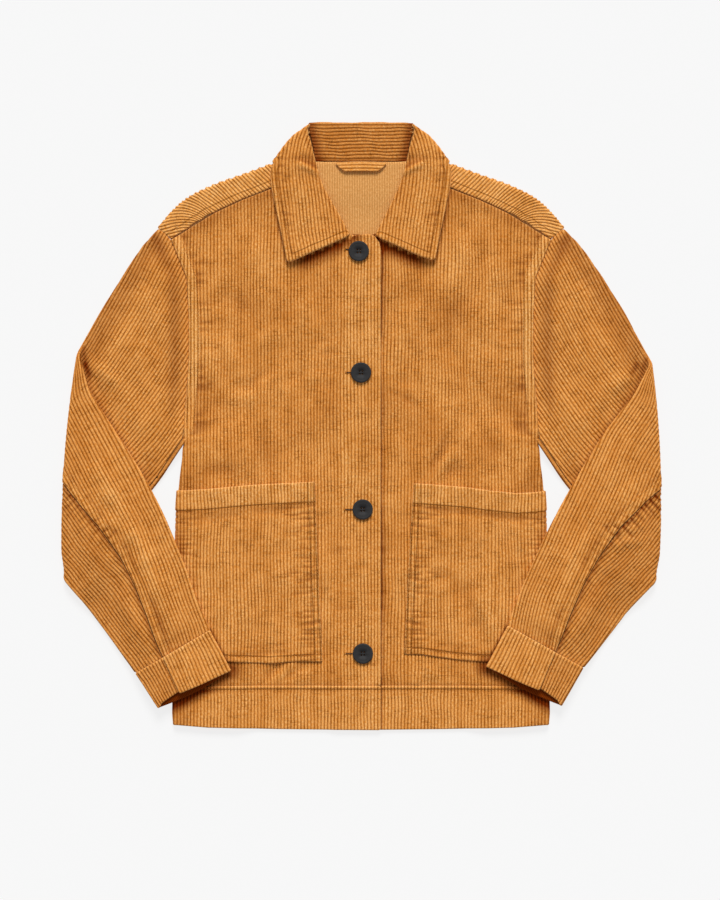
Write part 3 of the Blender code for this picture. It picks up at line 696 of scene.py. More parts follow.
# The collar's lower and outer edges on the fronts, along which its shadow is painted
COLLAR_FOOT = ((11, 207), (28, 197.5), (50, 188), (76, 177))
COLLAR_SIDE = ((79, 178), (89, 221), (97, 270))
CUFF_END = {"right": ((141.5, -264), (216, -302.5)), "left": ((136, -259.5), (213.5, -300))}
CUFF_SIDE = {"right": (164, -221), "left": (159, -216)}


def cuff_shadow(hand, x, y):
    """Where the cuff's shadow is painted: 1 where a body panel lies just beside the cuff that is over it,
    falling to 0.
    """
    beside = segment_distance([CUFF_SIDE[hand], CUFF_END[hand][0]], x, y)
    gap = np.minimum(segment_distance(CUFF_END[hand], x, y) * 0.8, beside * 2.4)
    return faded(gap, 1.95, 14.95)


def from_arm(x, y):
    """Distance to the nearer of the armhole's two rows of stitches."""
    gap = segment_distance(ARM_LINE, x, y)
    return 0.45 + np.abs((gap - ARM_ROWS[0]) * (gap - ARM_ROWS[1]) / (ARM_ROWS[1] - ARM_ROWS[0]))


SIDES = (("right", -1, True), ("left", 1, False))  # name, way along X, and whether it laps over
for side_name, sign, upper in SIDES:

    # Painted light and shade on a front: light and shade along its creases, lighter along the armhole's
    # felled ridge, a lighter placket with a lit edge, painted shade beside the ridge and in the puckers,
    # painted shadows below and beside the collar, beside the cuff, under the yoke seam and right of the
    # upper front's edge, and darker toward the side fold; the ripple is faint random patchiness
    def front_tone(u, v, x, y):
        arm = segment_distance(ARM_LINE, u, v)
        shade = 0.14 * creases(FRONT_CREASES[side_name], x, y) + 0.1 * ripple(x, y * 0.5, 90, 60)
        shade += 0.65 * faded(arm, 9.3, 10.8) * faded(v, 45, 5) - 0.12 * bump(arm, 13, 2)
        shade -= 0.5 * arm_puckers(v, arm) * (u > 100)
        shade -= 0.35 * placket_puckers(u, v) * faded(v, -30, 30)
        collar_shadow = faded(segment_distance(COLLAR_FOOT, x, y), 2.55, 19.55) * (y < 208 - 0.4 * x)
        shade -= 1.5 * collar_shadow * faded(x, 58, 80)
        shade -= 0.7 * faded(segment_distance(COLLAR_SIDE, x, y), 0.45, 4.95)
        shade -= 1.2 * cuff_shadow(side_name, x, y)
        shade -= 0.35 * faded(np.abs(segment_distance(YOKE_SEAM, x, y) - 3), 0, 14)
        if upper:
            shade += 0.3 * faded(u, 18, 22) + 0.35 * faded(u, -OVERLAP, 2.5 - OVERLAP)
        else:
            from_edge = np.abs(u) - OVERLAP
            shade -= 0.6 * faded(from_edge, 0.8, 2.4) + 0.3 * faded(from_edge, 1, 9)
        return shade - 0.3 * faded(x, 186, 160) * faded(y, -60, -20)

    def front_thicker(x, y):
        return felled(x, y) + upper * 0.6 * faded(x, -18, -10)

    front = make_shell("front_%s_cloth" % side_name, front_outline(),
                       body_lay(FRONT_FOLD, front_rise(side_name, upper)), row=4.0,
                       thicker=front_thicker, seams=[from_arm], mirrored=sign < 0, seed=11 + sign,
                       painted_light_and_nap=front_tone)
    declare(front, "front_" + side_name)


# ---------------------------------------------------------------- hem bands of the fronts
# Sewn on under each front, with a fine ridge along the seam.

def rounded(outline, radius=3.0):
    """The closed outline with its corners cut round."""
    made = []
    outline = [np.array(point, float) for point in outline]
    for before, here, after in zip(outline[-1:] + outline[:-1], outline, outline[1:] + outline[:1]):
        back, on = before - here, after - here
        turn = abs(atan2(back[0] * on[1] - back[1] * on[0], back @ on))
        if turn > 2.6:
            made.append(here)
            continue
        reach = min(radius, np.hypot(*back) * 0.4, np.hypot(*on) * 0.4)
        start, end = here + back / np.hypot(*back) * reach, here + on / np.hypot(*on) * reach
        for share in (0.0, 0.25, 0.5, 0.75, 1.0):
            made.append(start * (1 - share) ** 2 + here * 2 * share * (1 - share) + end * share ** 2)
    return made


BAND_ROW = 2.6                # the row of stitches is this far below the seam
AT_SEAM = HEM_SEAM - 2.0      # the bands rise over the table as the fronts do here
for side_name, sign, upper in SIDES:
    hidden = 198 + pi * FRONT_FOLD + TUCK
    outline = hem_line(-OVERLAP, 30, 60, 90, 130, 165, 185, 198)
    outline += [(hidden, -322.5), (hidden, HEM_SEAM + 1.0), (-OVERLAP, HEM_SEAM + 1.0)]

    def band_rise(x, y, rise=front_rise(side_name, upper)):
        return rise(x, np.full(np.shape(y), AT_SEAM)) + 1.1 * faded(y - HEM_SEAM, -0.5, -3.5)

    # Painted light and shade on a hem band: lighter overall and along its seam ridge, painted shade at the
    # row of stitches, on the lower band beside the upper one's edge and toward the side fold, and the
    # cuff's painted shadow
    def band_tone(u, v, x, y):
        below = HEM_SEAM - v
        shade = 0.22 + 0.15 * faded(below, 0.5, 2) - 0.4 * bump(below, 4.5, 2)
        if upper:
            shade += 0.15 * faded(u, 18, 22)
        else:
            shade -= 0.8 * faded(np.abs(u) - OVERLAP, 1, 3)
        return shade - 0.4 * faded(x, 191, 165) - 1.6 * cuff_shadow(side_name, x, y)

    band = make_shell("hem_band_%s_cloth" % side_name, rounded(outline), body_lay(FRONT_FOLD, band_rise),
                      row=2.0, seams=[lambda x, y: y - HEM_SEAM + BAND_ROW], mirrored=sign < 0,
                      thicker=face_down, seed=16 + sign, painted_light_and_nap=band_tone)
    declare(band, "hem_band_" + side_name)


# ---------------------------------------------------------------- pockets
# Large patch pockets with a wide stitched hem along the top, sewn on the fronts
# and turned round the side fold with them.

POCKETS = {
    "right": ([(41.5, -254), (44.8, -186), (47.6, -120), (50, -60)],
              [(85, -61.8), (121, -63.7), (168, -68), (190, -69.3), (204, -69)],
              [(204, -250), (170, -252), (142, -254), (98, -256), (70, -254)]),
    "left": ([(46.4, -246), (49.4, -186), (53, -120), (57, -61.6)],
             [(85, -63.6), (114, -66), (140, -69.6), (169, -72.4), (190, -71), (204, -69)],
             [(204, -252), (170, -253), (133, -254), (105, -252), (86, -249.5), (66, -246.5)]),
}
POCKET_HEM = 22.0
POCKET_ROWS = (1.6, 7.6)      # rows of stitches beside the inner edge
POCKET_FOOT_ROW = 7.0         # and above the bottom
POCKET_TURN = 1.2             # more than the front's own radius at the side fold
POCKET_CREASES = ((64, -243, 150, -247, 3, -0.9), (74, -236, 128, -239, 3, -0.7),
                  (70, -90, 118, -94, 4, -0.7), (122, -96, 186, -101, 4, -0.8))
for side_name, sign, _ in SIDES:
    inner, top, bottom = POCKETS[side_name]
    top_line = [inner[-1]] + top
    first_row, second_row = POCKET_ROWS

    def beside_row(x, y):
        from_side = x - read(inner, y, 1)
        return (from_side - first_row) * (from_side - second_row) / (second_row - first_row)

    seams = [lambda x, y: y - read(top_line, x) + POCKET_HEM, beside_row,
             lambda x, y: y - read([inner[0]] + bottom[::-1], x) - POCKET_FOOT_ROW]

    def pocket_lay(u, v, lay=body_lay(FRONT_FOLD + POCKET_TURN, front_rise(side_name, False))):
        laid = lay(u, v)
        short = (LAYER - POCKET_TURN) * faded(u - read(WRAP, v), 0, -16)
        laid[:, 2] += np.where(np.abs(u) > read(WRAP, v), 0.0, LAYER - short)
        return laid

    def hemmed(x, y):
        below, from_side = read(top_line, x) - y, x - read(inner, y, 1)
        drawn = (creases(POCKET_CREASES, x, y) - 0.9 * puckers(y, from_side, 46, 1.3)
                 - 0.3 * puckers(y, from_side, 12, 2.2, 4.0) - 0.6 * puckers(y, 197 - x, 44, 2.1))
        return (0.75 * faded(below, POCKET_HEM - 0.8, POCKET_HEM + 0.8)
                + drawn * (1 - faded(below, POCKET_HEM - 1, POCKET_HEM + 2)))

    # Painted light and shade on a pocket: a lighter hem and lit top edge, lighter beside the inner rows,
    # painted shade under the hem and in its creases and puckers, darker toward the side fold, and the
    # cuff's painted shadow
    def pocket_tone(u, v, x, y):
        below, from_side = read(top_line, x) - y, x - read(inner, y, 1)
        shade = 0.18 + 0.30 * faded(below, POCKET_HEM - 2, POCKET_HEM) + 0.3 * faded(below, 0, 2)
        shade += 0.28 * faded(from_side, 7.2, 8.4) - 0.35 * bump(below, POCKET_HEM + 3, 3.5)
        drawn = (0.5 * creases(POCKET_CREASES, x, y) - 0.8 * puckers(y, from_side, 46, 1.3)
                 - 0.6 * puckers(y, 197 - x, 44, 2.1))
        shade += drawn * (1 - faded(below, POCKET_HEM - 1, POCKET_HEM + 2))
        shade += 0.12 * creases(FRONT_CREASES[side_name], x, y) - 0.35 * faded(x, 198, 182)
        return shade - 1.6 * cuff_shadow(side_name, x, y)

    pocket = make_shell("pocket_%s_cloth" % side_name, rounded(inner + top + bottom, 2.0), pocket_lay,
                        row=2.0, seams=seams, thicker=hemmed, mirrored=sign < 0, seed=21 + sign,
                        painted_light_and_nap=pocket_tone)
    declare(pocket, "pocket_" + side_name)


# ---------------------------------------------------------------- yoke
# One piece across the back neck, turned over both shoulders to the fronts, so
# that its ribs run slanting there.

SHOULDER = ((20, 290.5), (55, 289), (75, 287), (95, 282.5), (122, 272.5), (157, 260.5), (184, 248),
            (201, 234.5), (218, 213.5), (232, 196))
NECK_SEAM = 285.0
SHOULDER_FOLD = LAYER / 2


def shoulder(x):
    """Height of the shoulder fold, smoothed, and its slope."""
    spread = np.linspace(-9, 9, 13)
    at = sum(read(SHOULDER, x + step) for step in spread) / 13
    slope = (sum(read(SHOULDER, x + step + 1) - read(SHOULDER, x + step - 1) for step in spread)) / 26
    return at, slope


def shoulder_foot(x, y):
    """Nearest place along the shoulder fold, and the distance above it."""
    foot = np.array(x, float)
    for _ in range(40):
        at, slope = shoulder(foot)
        foot = foot * 0.6 + 0.4 * (x + (y - at) * slope)
    at, slope = shoulder(foot)
    return foot, ((x - foot) * -slope + (y - at)) / np.hypot(slope, 1.0)


def off_shoulder(foot, shift, reach):
    """Points at a distance outward from the fold, with the places along it shifted."""
    foot = foot + YOKE_SLANT * shift / np.hypot(shoulder(foot)[1], 1.0)
    at, slope = shoulder(foot)
    length = np.hypot(slope, 1.0)
    return foot - slope / length * reach, at + reach / length


YOKE_SLANT = 0.13             # the ribs lie more slanting in front than a plain fold has them
NECK_HALF = 30.0              # within this of the middle the yoke isn't folded


def yoke_lay(u, v):
    across, sign = np.abs(u), np.where(u < 0, -1.0, 1.0)
    foot, above = shoulder_foot(np.maximum(across, NECK_HALF), v)
    turned = (above > 0) & (across > NECK_HALF)
    turn = np.clip(above / SHOULDER_FOLD, 0, pi)
    reach = SHOULDER_FOLD * np.sin(turn) - np.maximum(above - pi * SHOULDER_FOLD, 0)
    out_x, out_y = off_shoulder(foot, np.minimum(reach, 0), reach)
    x, y = np.where(turned, out_x, across), np.where(turned, out_y, v)
    z = np.where(turned, level(0.5) - SHOULDER_FOLD * np.cos(turn), level(0)) + neck_rise(x, y)
    return np.stack([sign * x, y, z], 1)


def over_shoulder(points):
    """Pattern places of points on the yoke's front part."""
    foot, above = shoulder_foot(*np.array(points, float).T)
    x, y = off_shoulder(foot, np.maximum(-above, 0), pi * SHOULDER_FOLD - above)
    return list(zip(x, y))


front_seam = [(204, 202.0), (186.5, 213.0), (172, 221.9), (158, 230.5), (143, 237.5), (128, 244.5),
              (110, 251.4), (90, 259.1), (72, 266), (56, 272)]
folded = over_shoulder([(212, 207.2), (205.5, 202.2)] + front_seam + [(55, 280), (55, 288)])
half = [(float(read(ARMHOLE, y)) - 0.3, y) for y in (BACK_SEAM + 0.3, 190, 201.5)]
half = [(x + 1.3, y) if y > 185 else (x, y) for x, y in half]
half += [(217.5, 213.0)] + folded + [(54, NECK_SEAM + 1.0), (40, NECK_SEAM), (20, NECK_SEAM)]
seam_edge = over_shoulder(front_seam)


def yoke_thicker(x, y):
    across = np.abs(x)
    above = shoulder_foot(np.maximum(across, NECK_HALF), y)[1]
    front = (CREST - FACE_DOWN) * faded(above, 3, 0) * (across > NECK_HALF)
    return front + 0.55 * faded(segment_distance(seam_edge, across, y), 6.8, 8.4)


yoke = make_shell("yoke_cloth", both_halves(half), yoke_lay, row=3.0, crest=FACE_DOWN, flip=-1,
                  thicker=yoke_thicker,
                  seams=[lambda x, y: segment_distance(seam_edge, np.abs(x), y) - 7.0],
                  painted_light_and_nap=lambda u, v, x, y: 0.5 * (np.abs(x) > 60) + 0.2 * (x < -60))
declare(yoke, "yoke")


# ---------------------------------------------------------------- collar
# One-piece collar of two plies: the stand behind the neck with its ribs running
# across, and two leaves turned over the shoulders, stitched round their edges.

STAND_FOLD = 326.0            # top of the stand, where it turns to the fall behind
LEAF_FOLD = 3.15              # radius where a leaf turns over the shoulder
FALL = ((262, 76), (277, 84), (291, 83.5), (304, 73), (318, 62), (326, 57.5))


def grain(start, leans, before, after):
    """A line the ribs run beside, from its lean in degrees at places along it."""
    at = np.arange(-before, after + 1.0)
    angle = np.radians(sum(read(leans, at + step) for step in np.linspace(-25, 25, 11)) / 11)
    run = np.stack([np.sin(angle), -np.cos(angle)], 1)
    points = np.cumsum(run, 0)
    return at, points - points[before] + np.array(start, float), run


def beside_grain(line, t, offset):
    """Points at a distance from the grain line, at places along it."""
    at, points, run = line
    x, y, run_x, run_y = [np.interp(t, at, column) for column in (*points.T, *run.T)]
    return x - run_y * offset, y + run_x * offset


def on_grain(line, x, y):
    """Place along the grain line and distance from it, of laid points."""
    at, points, run = line
    x, y = np.atleast_1d(x).astype(float), np.atleast_1d(y).astype(float)
    k = np.argmin((x[:, None] - points[:, 0]) ** 2 + (y[:, None] - points[:, 1]) ** 2, axis=1)
    dx, dy = x - points[k, 0], y - points[k, 1]
    return at[k] + dx * run[k, 0] + dy * run[k, 1], dy * run[k, 0] - dx * run[k, 1]


def stand_lay(u, v):
    """u runs up from the neck seam and over the top, v across."""
    fold = STAND_FOLD - NECK_SEAM + 0.5 * np.sin(v * 0.11) + 0.3 * np.sin(v * 0.31 + 1)
    fold = fold - 1.2 * faded(np.abs(v), 58, 48)
    beyond = u - fold
    turn = np.clip(beyond / SHOULDER_FOLD, 0, pi)
    wobble = 0.5 * np.sin(v * 0.12 + u * 0.08) + 0.2 * np.sin(v * 0.27 + u * 0.2 + 2)
    y = NECK_SEAM + np.minimum(u, fold) + SHOULDER_FOLD * np.sin(turn)
    y += wobble * ease(u / 6) * ease(-beyond / 6)
    y -= np.maximum(beyond - pi * SHOULDER_FOLD, 0)
    z = level(0.5) + SHOULDER_FOLD * np.cos(turn) + 0.5 * np.sin(v * 0.09 + 1) * ease(-beyond / 10)
    return np.stack([v, y, z], 1)


def stand_tone(u, v, x, y):
    """Shaded toward the leaves at both sides, and along the neck seam."""
    return -0.3 - 0.85 * faded(np.abs(v) - 0.22 * u, 47, 34) - 0.6 * faded(u, 0.5, 3)


turned = STAND_FOLD - NECK_SEAM + pi * SHOULDER_FOLD + STAND_FOLD
half = [(0.4, 50), (16, 52), (28, 54.5), (35, 57), (44, 56.5)]
half += [(turned - y, width) for y, width in reversed(FALL)]
stand = make_shell("collar_stand", half + [(u, -v) for u, v in reversed(half)], stand_lay, row=2.5,
                   crest=FACE_DOWN, flip=-1, seams=[lambda u, v: u - 2.5], painted_light_and_nap=stand_tone,
                   thicker=lambda u, v: (CREST - FACE_DOWN) * faded(u, 40, 44))

LEAVES = {
    "right": ([(55, 325.4), (57.4, 320), (56.6, 314), (53.4, 305), (50.2, 291), (47, 278.5),
               (43.5, 266), (38.5, 255), (33, 245), (27.5, 235.5), (22, 226), (16.5, 215.5),
               (11.5, 206.5)],
              [(17, 202.5), (27, 198), (37, 193.5), (50, 188), (61, 182.8), (72, 178), (77.5, 176)],
              [(80.3, 178.5), (82.5, 190), (85.5, 205), (89, 221), (92.8, 238), (96.5, 256),
               (97.6, 270), (97, 277), (94.5, 283)],
              ((68, 283.5, 46, 271.5, 3.2, 2.6), (66, 291, 48, 283, 4.5, -2.0),
               (80, 262, 52, 240, 12, 1.2), (60, 300, 74, 270, 9, 0.9), (44, 232, 76, 214, 11, 0.9))),
    "left": ([(55, 325.4), (57.4, 320), (55.6, 312), (52, 300), (49.4, 288), (46, 273), (41, 259),
              (35.5, 247), (30, 236), (25, 226), (19.5, 215), (15, 206)],
             [(21, 201.5), (30, 197.5), (43, 191.8), (54, 186.6), (65, 182), (76, 178.3)],
             [(80, 179.5), (82, 190), (85, 205), (88.5, 222), (92.5, 240), (96.5, 258), (97.5, 270),
              (96.8, 277), (94.5, 283)],
             ((68, 284, 44, 271.5, 3.2, 2.6), (66, 291, 46, 283, 4.5, -2.0),
              (84, 258, 60, 236, 12, 1.0), (62, 300, 76, 272, 9, 0.9), (50, 226, 78, 206, 11, 0.8))),
}
LEAF_LEANS = ((-60, 30), (-35, 25), (-8, 9), (8, -6), (35, -10), (60, -5), (90, -8), (120, -8))
LEAF_ROW = 7.0                # the stitches are this far in from a leaf's edge
CREASE = ((70, 288.5), (47, 278))  # sharp crease where a leaf's roll meets the shoulder
FOLD_FROM, FOLD_OUT = (60.1, 320.2), (0.761, 0.649)
leaf_parts = []


def fold_bow(x, y):
    """Outward bow of a leaf's fold, less at its top corner."""
    down = (x - FOLD_FROM[0]) * FOLD_OUT[1] - (y - FOLD_FROM[1]) * FOLD_OUT[0]
    return 2.0 * np.sin(pi * np.clip(down / 48, 0, 1)) - 1.9 * faded(down, 0, 14) - 1.5 * faded(down, -6, 0)


for side_name, sign, _ in SIDES:
    roll, bottom, outer, folds = LEAVES[side_name]
    line = grain((78, 285), LEAF_LEANS, 60, 130)

    def leaf_lay(u, v):
        x, y = beside_grain(line, -v, u)
        beyond = (x - FOLD_FROM[0]) * FOLD_OUT[0] + (y - FOLD_FROM[1]) * FOLD_OUT[1]
        beyond = beyond - fold_bow(x, y)
        turn = np.clip(beyond / LEAF_FOLD, 0, pi)
        shift = (LEAF_FOLD * np.sin(turn) - np.maximum(beyond - pi * LEAF_FOLD, 0)
                 - np.maximum(beyond, 0))
        soft = creases(folds, x, y) - 1.6 * faded(segment_distance(roll, x, y), 0, 6)
        soft += 1.6 * faded(y, 182, 222) + 0.8 * faded(y, 280, 250)
        z = level(1.5) + LEAF_FOLD * np.cos(turn) + 1.2 + soft * faded(beyond, -8, 0)
        return np.stack([x + FOLD_OUT[0] * shift, y + FOLD_OUT[1] * shift, z], 1)

    reach = pi * LEAF_FOLD + 3
    over = [(x + FOLD_OUT[0] * reach, y + FOLD_OUT[1] * reach) for x, y in ((94.5, 284), (58, 323))]
    edges = densify(roll + bottom + outer + over)
    t, offset = on_grain(line, *edges.T)
    at, away = on_grain(line, *np.array(bottom + outer, float).T)
    stitch_line = list(zip(away, -at))

    def turned_edge(u, v):
        return 0.45 * faded(segment_distance(stitch_line, u, v), 6, 7.6)

    # Painted light and shade on a leaf: light and shade along its soft folds, lit edges along its rim, roll
    # and stitch row, and painted shade beside the roll, in its puckers and at the crease by the shoulder
    def leaf_tone(u, v, x, y):
        from_roll, from_rim = segment_distance(roll, x, y), segment_distance(bottom + outer, x, y)
        shade = 0.06 + 0.2 * creases(folds, x, y) + 0.35 * faded(from_rim, 0, 2.4)
        shade += 0.35 * faded(from_roll, 0, 1.8) - 0.35 * bump(from_roll, 3.4, 1.6)
        shade += 0.14 * faded(from_rim, 6, 7.2)
        drawn = puckers(y, segment_distance(outer, x, y) - 6, 20, 1.7, 6.0)
        shade -= 0.5 * drawn * faded(from_rim, 6, 3)
        return shade - 0.8 * bump(segment_distance(CREASE, x, y), 0, 2.6)

    leaf_parts.append(make_shell("collar_leaf", np.stack([offset, -t], 1), leaf_lay, row=2.5,
                                 wrong=-1.5, thicker=turned_edge, mirrored=sign < 0, seed=31 + sign,
                                 seams=[lambda u, v: segment_distance(stitch_line, u, v) - LEAF_ROW],
                                 painted_light_and_nap=leaf_tone))


def join(first, others):
    """Makes several meshes one piece, cut from the sum of their patterns."""
    area = first["cut"][2] + sum(other["cut"][2] for other in others)
    with bpy.context.temp_override(active_object=first, selected_editable_objects=[first, *others]):
        bpy.ops.object.join()
    first["cut"] = [first["cut"][0], area / first["cut"][0] / 0.8, area]
    return first


collar = join(stand, leaf_parts)
collar.name = "collar_cloth"
declare(collar, "collar")


# ---------------------------------------------------------------- hanger loop
# Short doubled strip of the corduroy, caught in the neck seam at both ends.

def loop_lay(u, v):
    """u runs up to the neck seam, v across."""
    height = level(2) + 0 * u + 1.2 * faded(u, 276, 284)
    return np.stack([v, u + 0.4 * np.cos(v * 0.1), height], 1)


half = [(284.9, 28), (282, 27), (276.5, 21.5), (274, 17)]
# The loop is painted lighter, with painted shade along its lower fold
loop = make_shell("hanger_loop_cloth", half + [(273.6, 0)] + [(u, -v) for u, v in reversed(half)],
                  loop_lay, row=2.0, flip=-1,
                  painted_light_and_nap=lambda u, v, x, y: 0.5 - 0.9 * faded(u, 273.6, 276.1))
declare(loop, "hanger_loop")


# ---------------------------------------------------------------- sleeves
# Two-piece sleeves, pressed flat and folded back on themselves at the elbow, so
# that the upper arm shows its front and the forearm its back.

TUBE = 1.5                    # half the space between a sleeve's two sides
ELBOW = 2.8                   # radius of the elbow fold, to the tube's middle
ELBOW_SPREAD = 20.0           # the outer side's extra length is spread over this
ELBOW_BOW = 6.0               # the elbow fold bows outward by this
ROUND = TUBE * pi / 2         # from a sleeve's pressed edge to its flat, along the cloth
OVER_BODY = 12.1              # height of the forearm's lower side on the body
ON_TABLE = 0.8                # on the table
OVER_SLEEVE = ON_TABLE + 2 * ELBOW  # and on the upper sleeve
UNDERARM_SEAM = 2.5
PULL, PULL_REACH = 3.0, 20.0  # cloth drawn over the elbow fold, and how far that shows
CORNER = 2.4                  # the fold's lower corner is rounded off by this
GATHERED = {"right": 0.5, "left": 1.0}  # how deep the gathers at each elbow are
FAN, FAN_TIGHT = 30.0, 0.72   # ribs this far behind the pressed edge draw together there
UPPER_TOP = {"right": ((216.5, 211.5), (234, 193), (257, 158), (281, 119), (300, 84)),
             "left": ((216.5, 211.5), (234.5, 194), (259.5, 158), (284.5, 118), (308, 72))}
UPPER_UNDER = {"right": ((190.5, -15), (203, -33), (218, -56), (247, -92), (317.3, -157.5)),
               "left": ((190.5, -15), (203, -33), (218, -56), (247, -92), (315.5, -160))}
FOREARM_TOP = {"right": ((293, 40), (262, -10), (235, -56), (213.5, -97), (192, -149), (176, -193),
                         (164, -221)),
               "left": ((296, 38), (262, -8), (235, -55), (211, -97), (190, -141), (171, -183),
                        (159, -216))}
FOREARM_UNDER = {"right": ((308, -179.5), (293, -195), (278, -215), (266, -231.5), (255.5, -245.5),
                           (247, -256.5), (240.5, -265.5)),
                 "left": ((305.5, -180), (289, -195), (272, -216.5), (259, -233), (248.5, -246),
                          (243, -253), (237, -259.5))}
UPPER_SEAM, FOREARM_SEAM = (0.617, 0.52, 0.54, 0.57, 0.59), (0.55, 0.54, 0.54, 0.56, 0.59, 0.62, 0.635)
Hand = namedtuple("Hand", "name top under apex along out length")


def sleeve_of(name):
    """One sleeve's edges, its elbow fold from the apex down, and the way out from it."""
    apex, foot = np.array(UPPER_TOP[name][-1], float), np.array(UPPER_UNDER[name][-1], float)
    along = (foot - apex) / np.hypot(*(foot - apex))
    return Hand(name, UPPER_TOP[name], UPPER_UNDER[name], apex, along,
                np.array([-along[1], along[0]]), float(np.hypot(*(foot - apex))))


def unfold(hand, points):
    """Forearm points turned back over the elbow fold, onto the plane of the upper arm."""
    points = np.array(points, float) - hand.apex
    away, down = points @ hand.out, points @ hand.along
    return hand.apex + down[:, None] * hand.along + (pi * ELBOW - away)[:, None] * hand.out


def forearm_rise(hand, x, y):
    """Height of the forearm's lower side: on the body, the upper sleeve or the table."""
    on_body = OVER_BODY + (ON_TABLE - OVER_BODY) * faded(x - read(SIDE, y), 77, 22)
    near, far = hand.under[2], hand.under[4]
    run, fall = far[0] - near[0], near[1] - far[1]
    below = ((near[1] - y) * run - (x - near[0]) * fall) / hypot(run, fall)
    on_sleeve = OVER_SLEEVE + (ON_TABLE - OVER_SLEEVE) * faded(below, 63, 18)
    soft = 1.5
    return soft * np.log(np.exp(on_body / soft) + np.exp(on_sleeve / soft)) - 0.6


def puff(hand, x, y, turned):
    """How far the upper side of a sleeve stands up between its pressed edges."""
    inner = [hand.apex] + list(FOREARM_TOP[hand.name])
    outer = list(hand.under[-1:]) + list(FOREARM_UNDER[hand.name])
    if turned:
        return (3.2 * faded(segment_distance(inner, x, y), 38, 0)
                * faded(segment_distance(outer, x, y), 36, 2)
                * faded(segment_distance([inner[-1], outer[-1]], x, y), 26, 0))
    hidden = inside(np.array(inner + outer[::-1]), x, y)
    clear = np.where(hidden, 0.0, faded(segment_distance(inner, x, y), 30, 4))
    return (3.0 * clear * faded(segment_distance(hand.top, x, y), 34, 0)
            * faded(segment_distance(hand.under, x, y), 30, 0) * faded(x - read(ARMHOLE, y), 24, 0))


def fanned(beyond, after):
    """Distance behind the pressed edge, where the ribs draw together at the apex."""
    tight = FAN_TIGHT * np.where(after > 0, faded(after, 0, 62), faded(after, 0, -45))
    share = np.maximum(beyond, 0) / FAN
    drawn = share / (1 + share ** 4) ** 0.25 * faded(beyond, FAN, FAN + 90)
    return beyond - tight * FAN * drawn


def unfanned(beyond, after):
    """The distance that fanned() draws in to this one."""
    wide = beyond
    for _ in range(60):
        wide = beyond + wide - fanned(wide, after)
    return wide


def fold_sleeve(hand, x, y, lift, folds):
    """Lays points of the opened-out sleeve: flat, then back over the elbow fold."""
    away = (x - hand.apex[0]) * hand.out[0] + (y - hand.apex[1]) * hand.out[1]
    down = (x - hand.apex[0]) * hand.along[0] + (y - hand.apex[1]) * hand.along[1]
    ends = faded(down, 45, 0) * faded(hand.length - down, 45, 0)
    away = away + PULL * ends * bump(away, -6, PULL_REACH)
    radius = ELBOW - lift
    run = away - pi * lift * faded(away, pi * ELBOW + ELBOW_SPREAD, -ELBOW_SPREAD)
    turn = np.clip(run / radius, 0, pi)
    across = np.where(run < 0, run, radius * np.sin(turn)) - np.maximum(run - pi * radius, 0)
    share = np.clip(down / hand.length, 0, 1)
    across = across + ELBOW_BOW * 4 * share * (1 - share) * faded(np.abs(across), 0, 85)
    across = across - CORNER * faded(share, 1, 0.9) * faded(np.abs(across), 0, 40)
    x = hand.apex[0] + hand.along[0] * down + hand.out[0] * across
    y = hand.apex[1] + hand.along[1] * down + hand.out[1] * across
    z = level(0) + TUBE + ELBOW - radius * np.cos(turn)
    upper = turn < pi / 2
    shows = np.where(upper, lift > 0, lift < 0) * np.clip(np.abs(lift) / TUBE, 0, 1)
    at_armhole = faded(x - read(ARMHOLE, y), 1, 9) * faded(y, 22, -8)
    on_table = tuck_rise(x, y) + shows * (puff(hand, x, y, False) + creases(folds[0], x, y) - at_armhole)
    on_top = (forearm_rise(hand, x, y) - OVER_SLEEVE
              + shows * (puff(hand, x, y, True) + creases(folds[1], x, y)))
    return x, y, z + faded(np.abs(across), 22, 0) * np.where(upper, on_table, on_top)


def tube_lay(hand, line, edge, outward, folds, apex_at=None):
    """Lays a sleeve panel round the pressed edge that lies along its grain line."""
    def lay(u, v):
        t = -v
        fold = np.interp(t, *edge)
        round_edge = (fold - u) * outward
        if apex_at is not None:
            round_edge = np.where(round_edge < 0, -fanned(-round_edge, t - apex_at), round_edge)
        angle = np.clip(round_edge / TUBE, -pi / 2, pi / 2)
        inward = np.maximum(np.abs(round_edge) - ROUND, 0) - TUBE * np.cos(angle)
        x, y = beside_grain(line, t, fold - outward * inward)
        return np.stack(fold_sleeve(hand, x, y, TUBE * np.sin(angle), folds), 1)
    return lay


def tube_pattern(line, edge, outward, points, front, apex_at=None):
    """Pattern places of opened-out points on the front or back of a sleeve panel."""
    t, offset = on_grain(line, *np.array(points, float).T)
    fold = np.interp(t, *edge)
    inward = (fold - offset) * outward + ROUND
    if apex_at is not None:
        inward = unfanned(inward, t - apex_at)
    return np.stack([fold - outward * inward * (1 if front else -1), -t], 1)


def pressed_edge(line, points):
    """How far a pressed edge is from the grain line, with the places along it."""
    t, offset = on_grain(line, *points.T)
    order = np.argsort(t)
    return t[order], np.convolve(np.pad(offset[order], 2, "edge"), np.ones(5) / 5, "valid")


def share_of(first, second, shares):
    """Points at these shares of the way from one to the other."""
    first, second = np.array(first, float), np.array(second, float)
    return first + (second - first) * np.array(shares, float)[:, None]


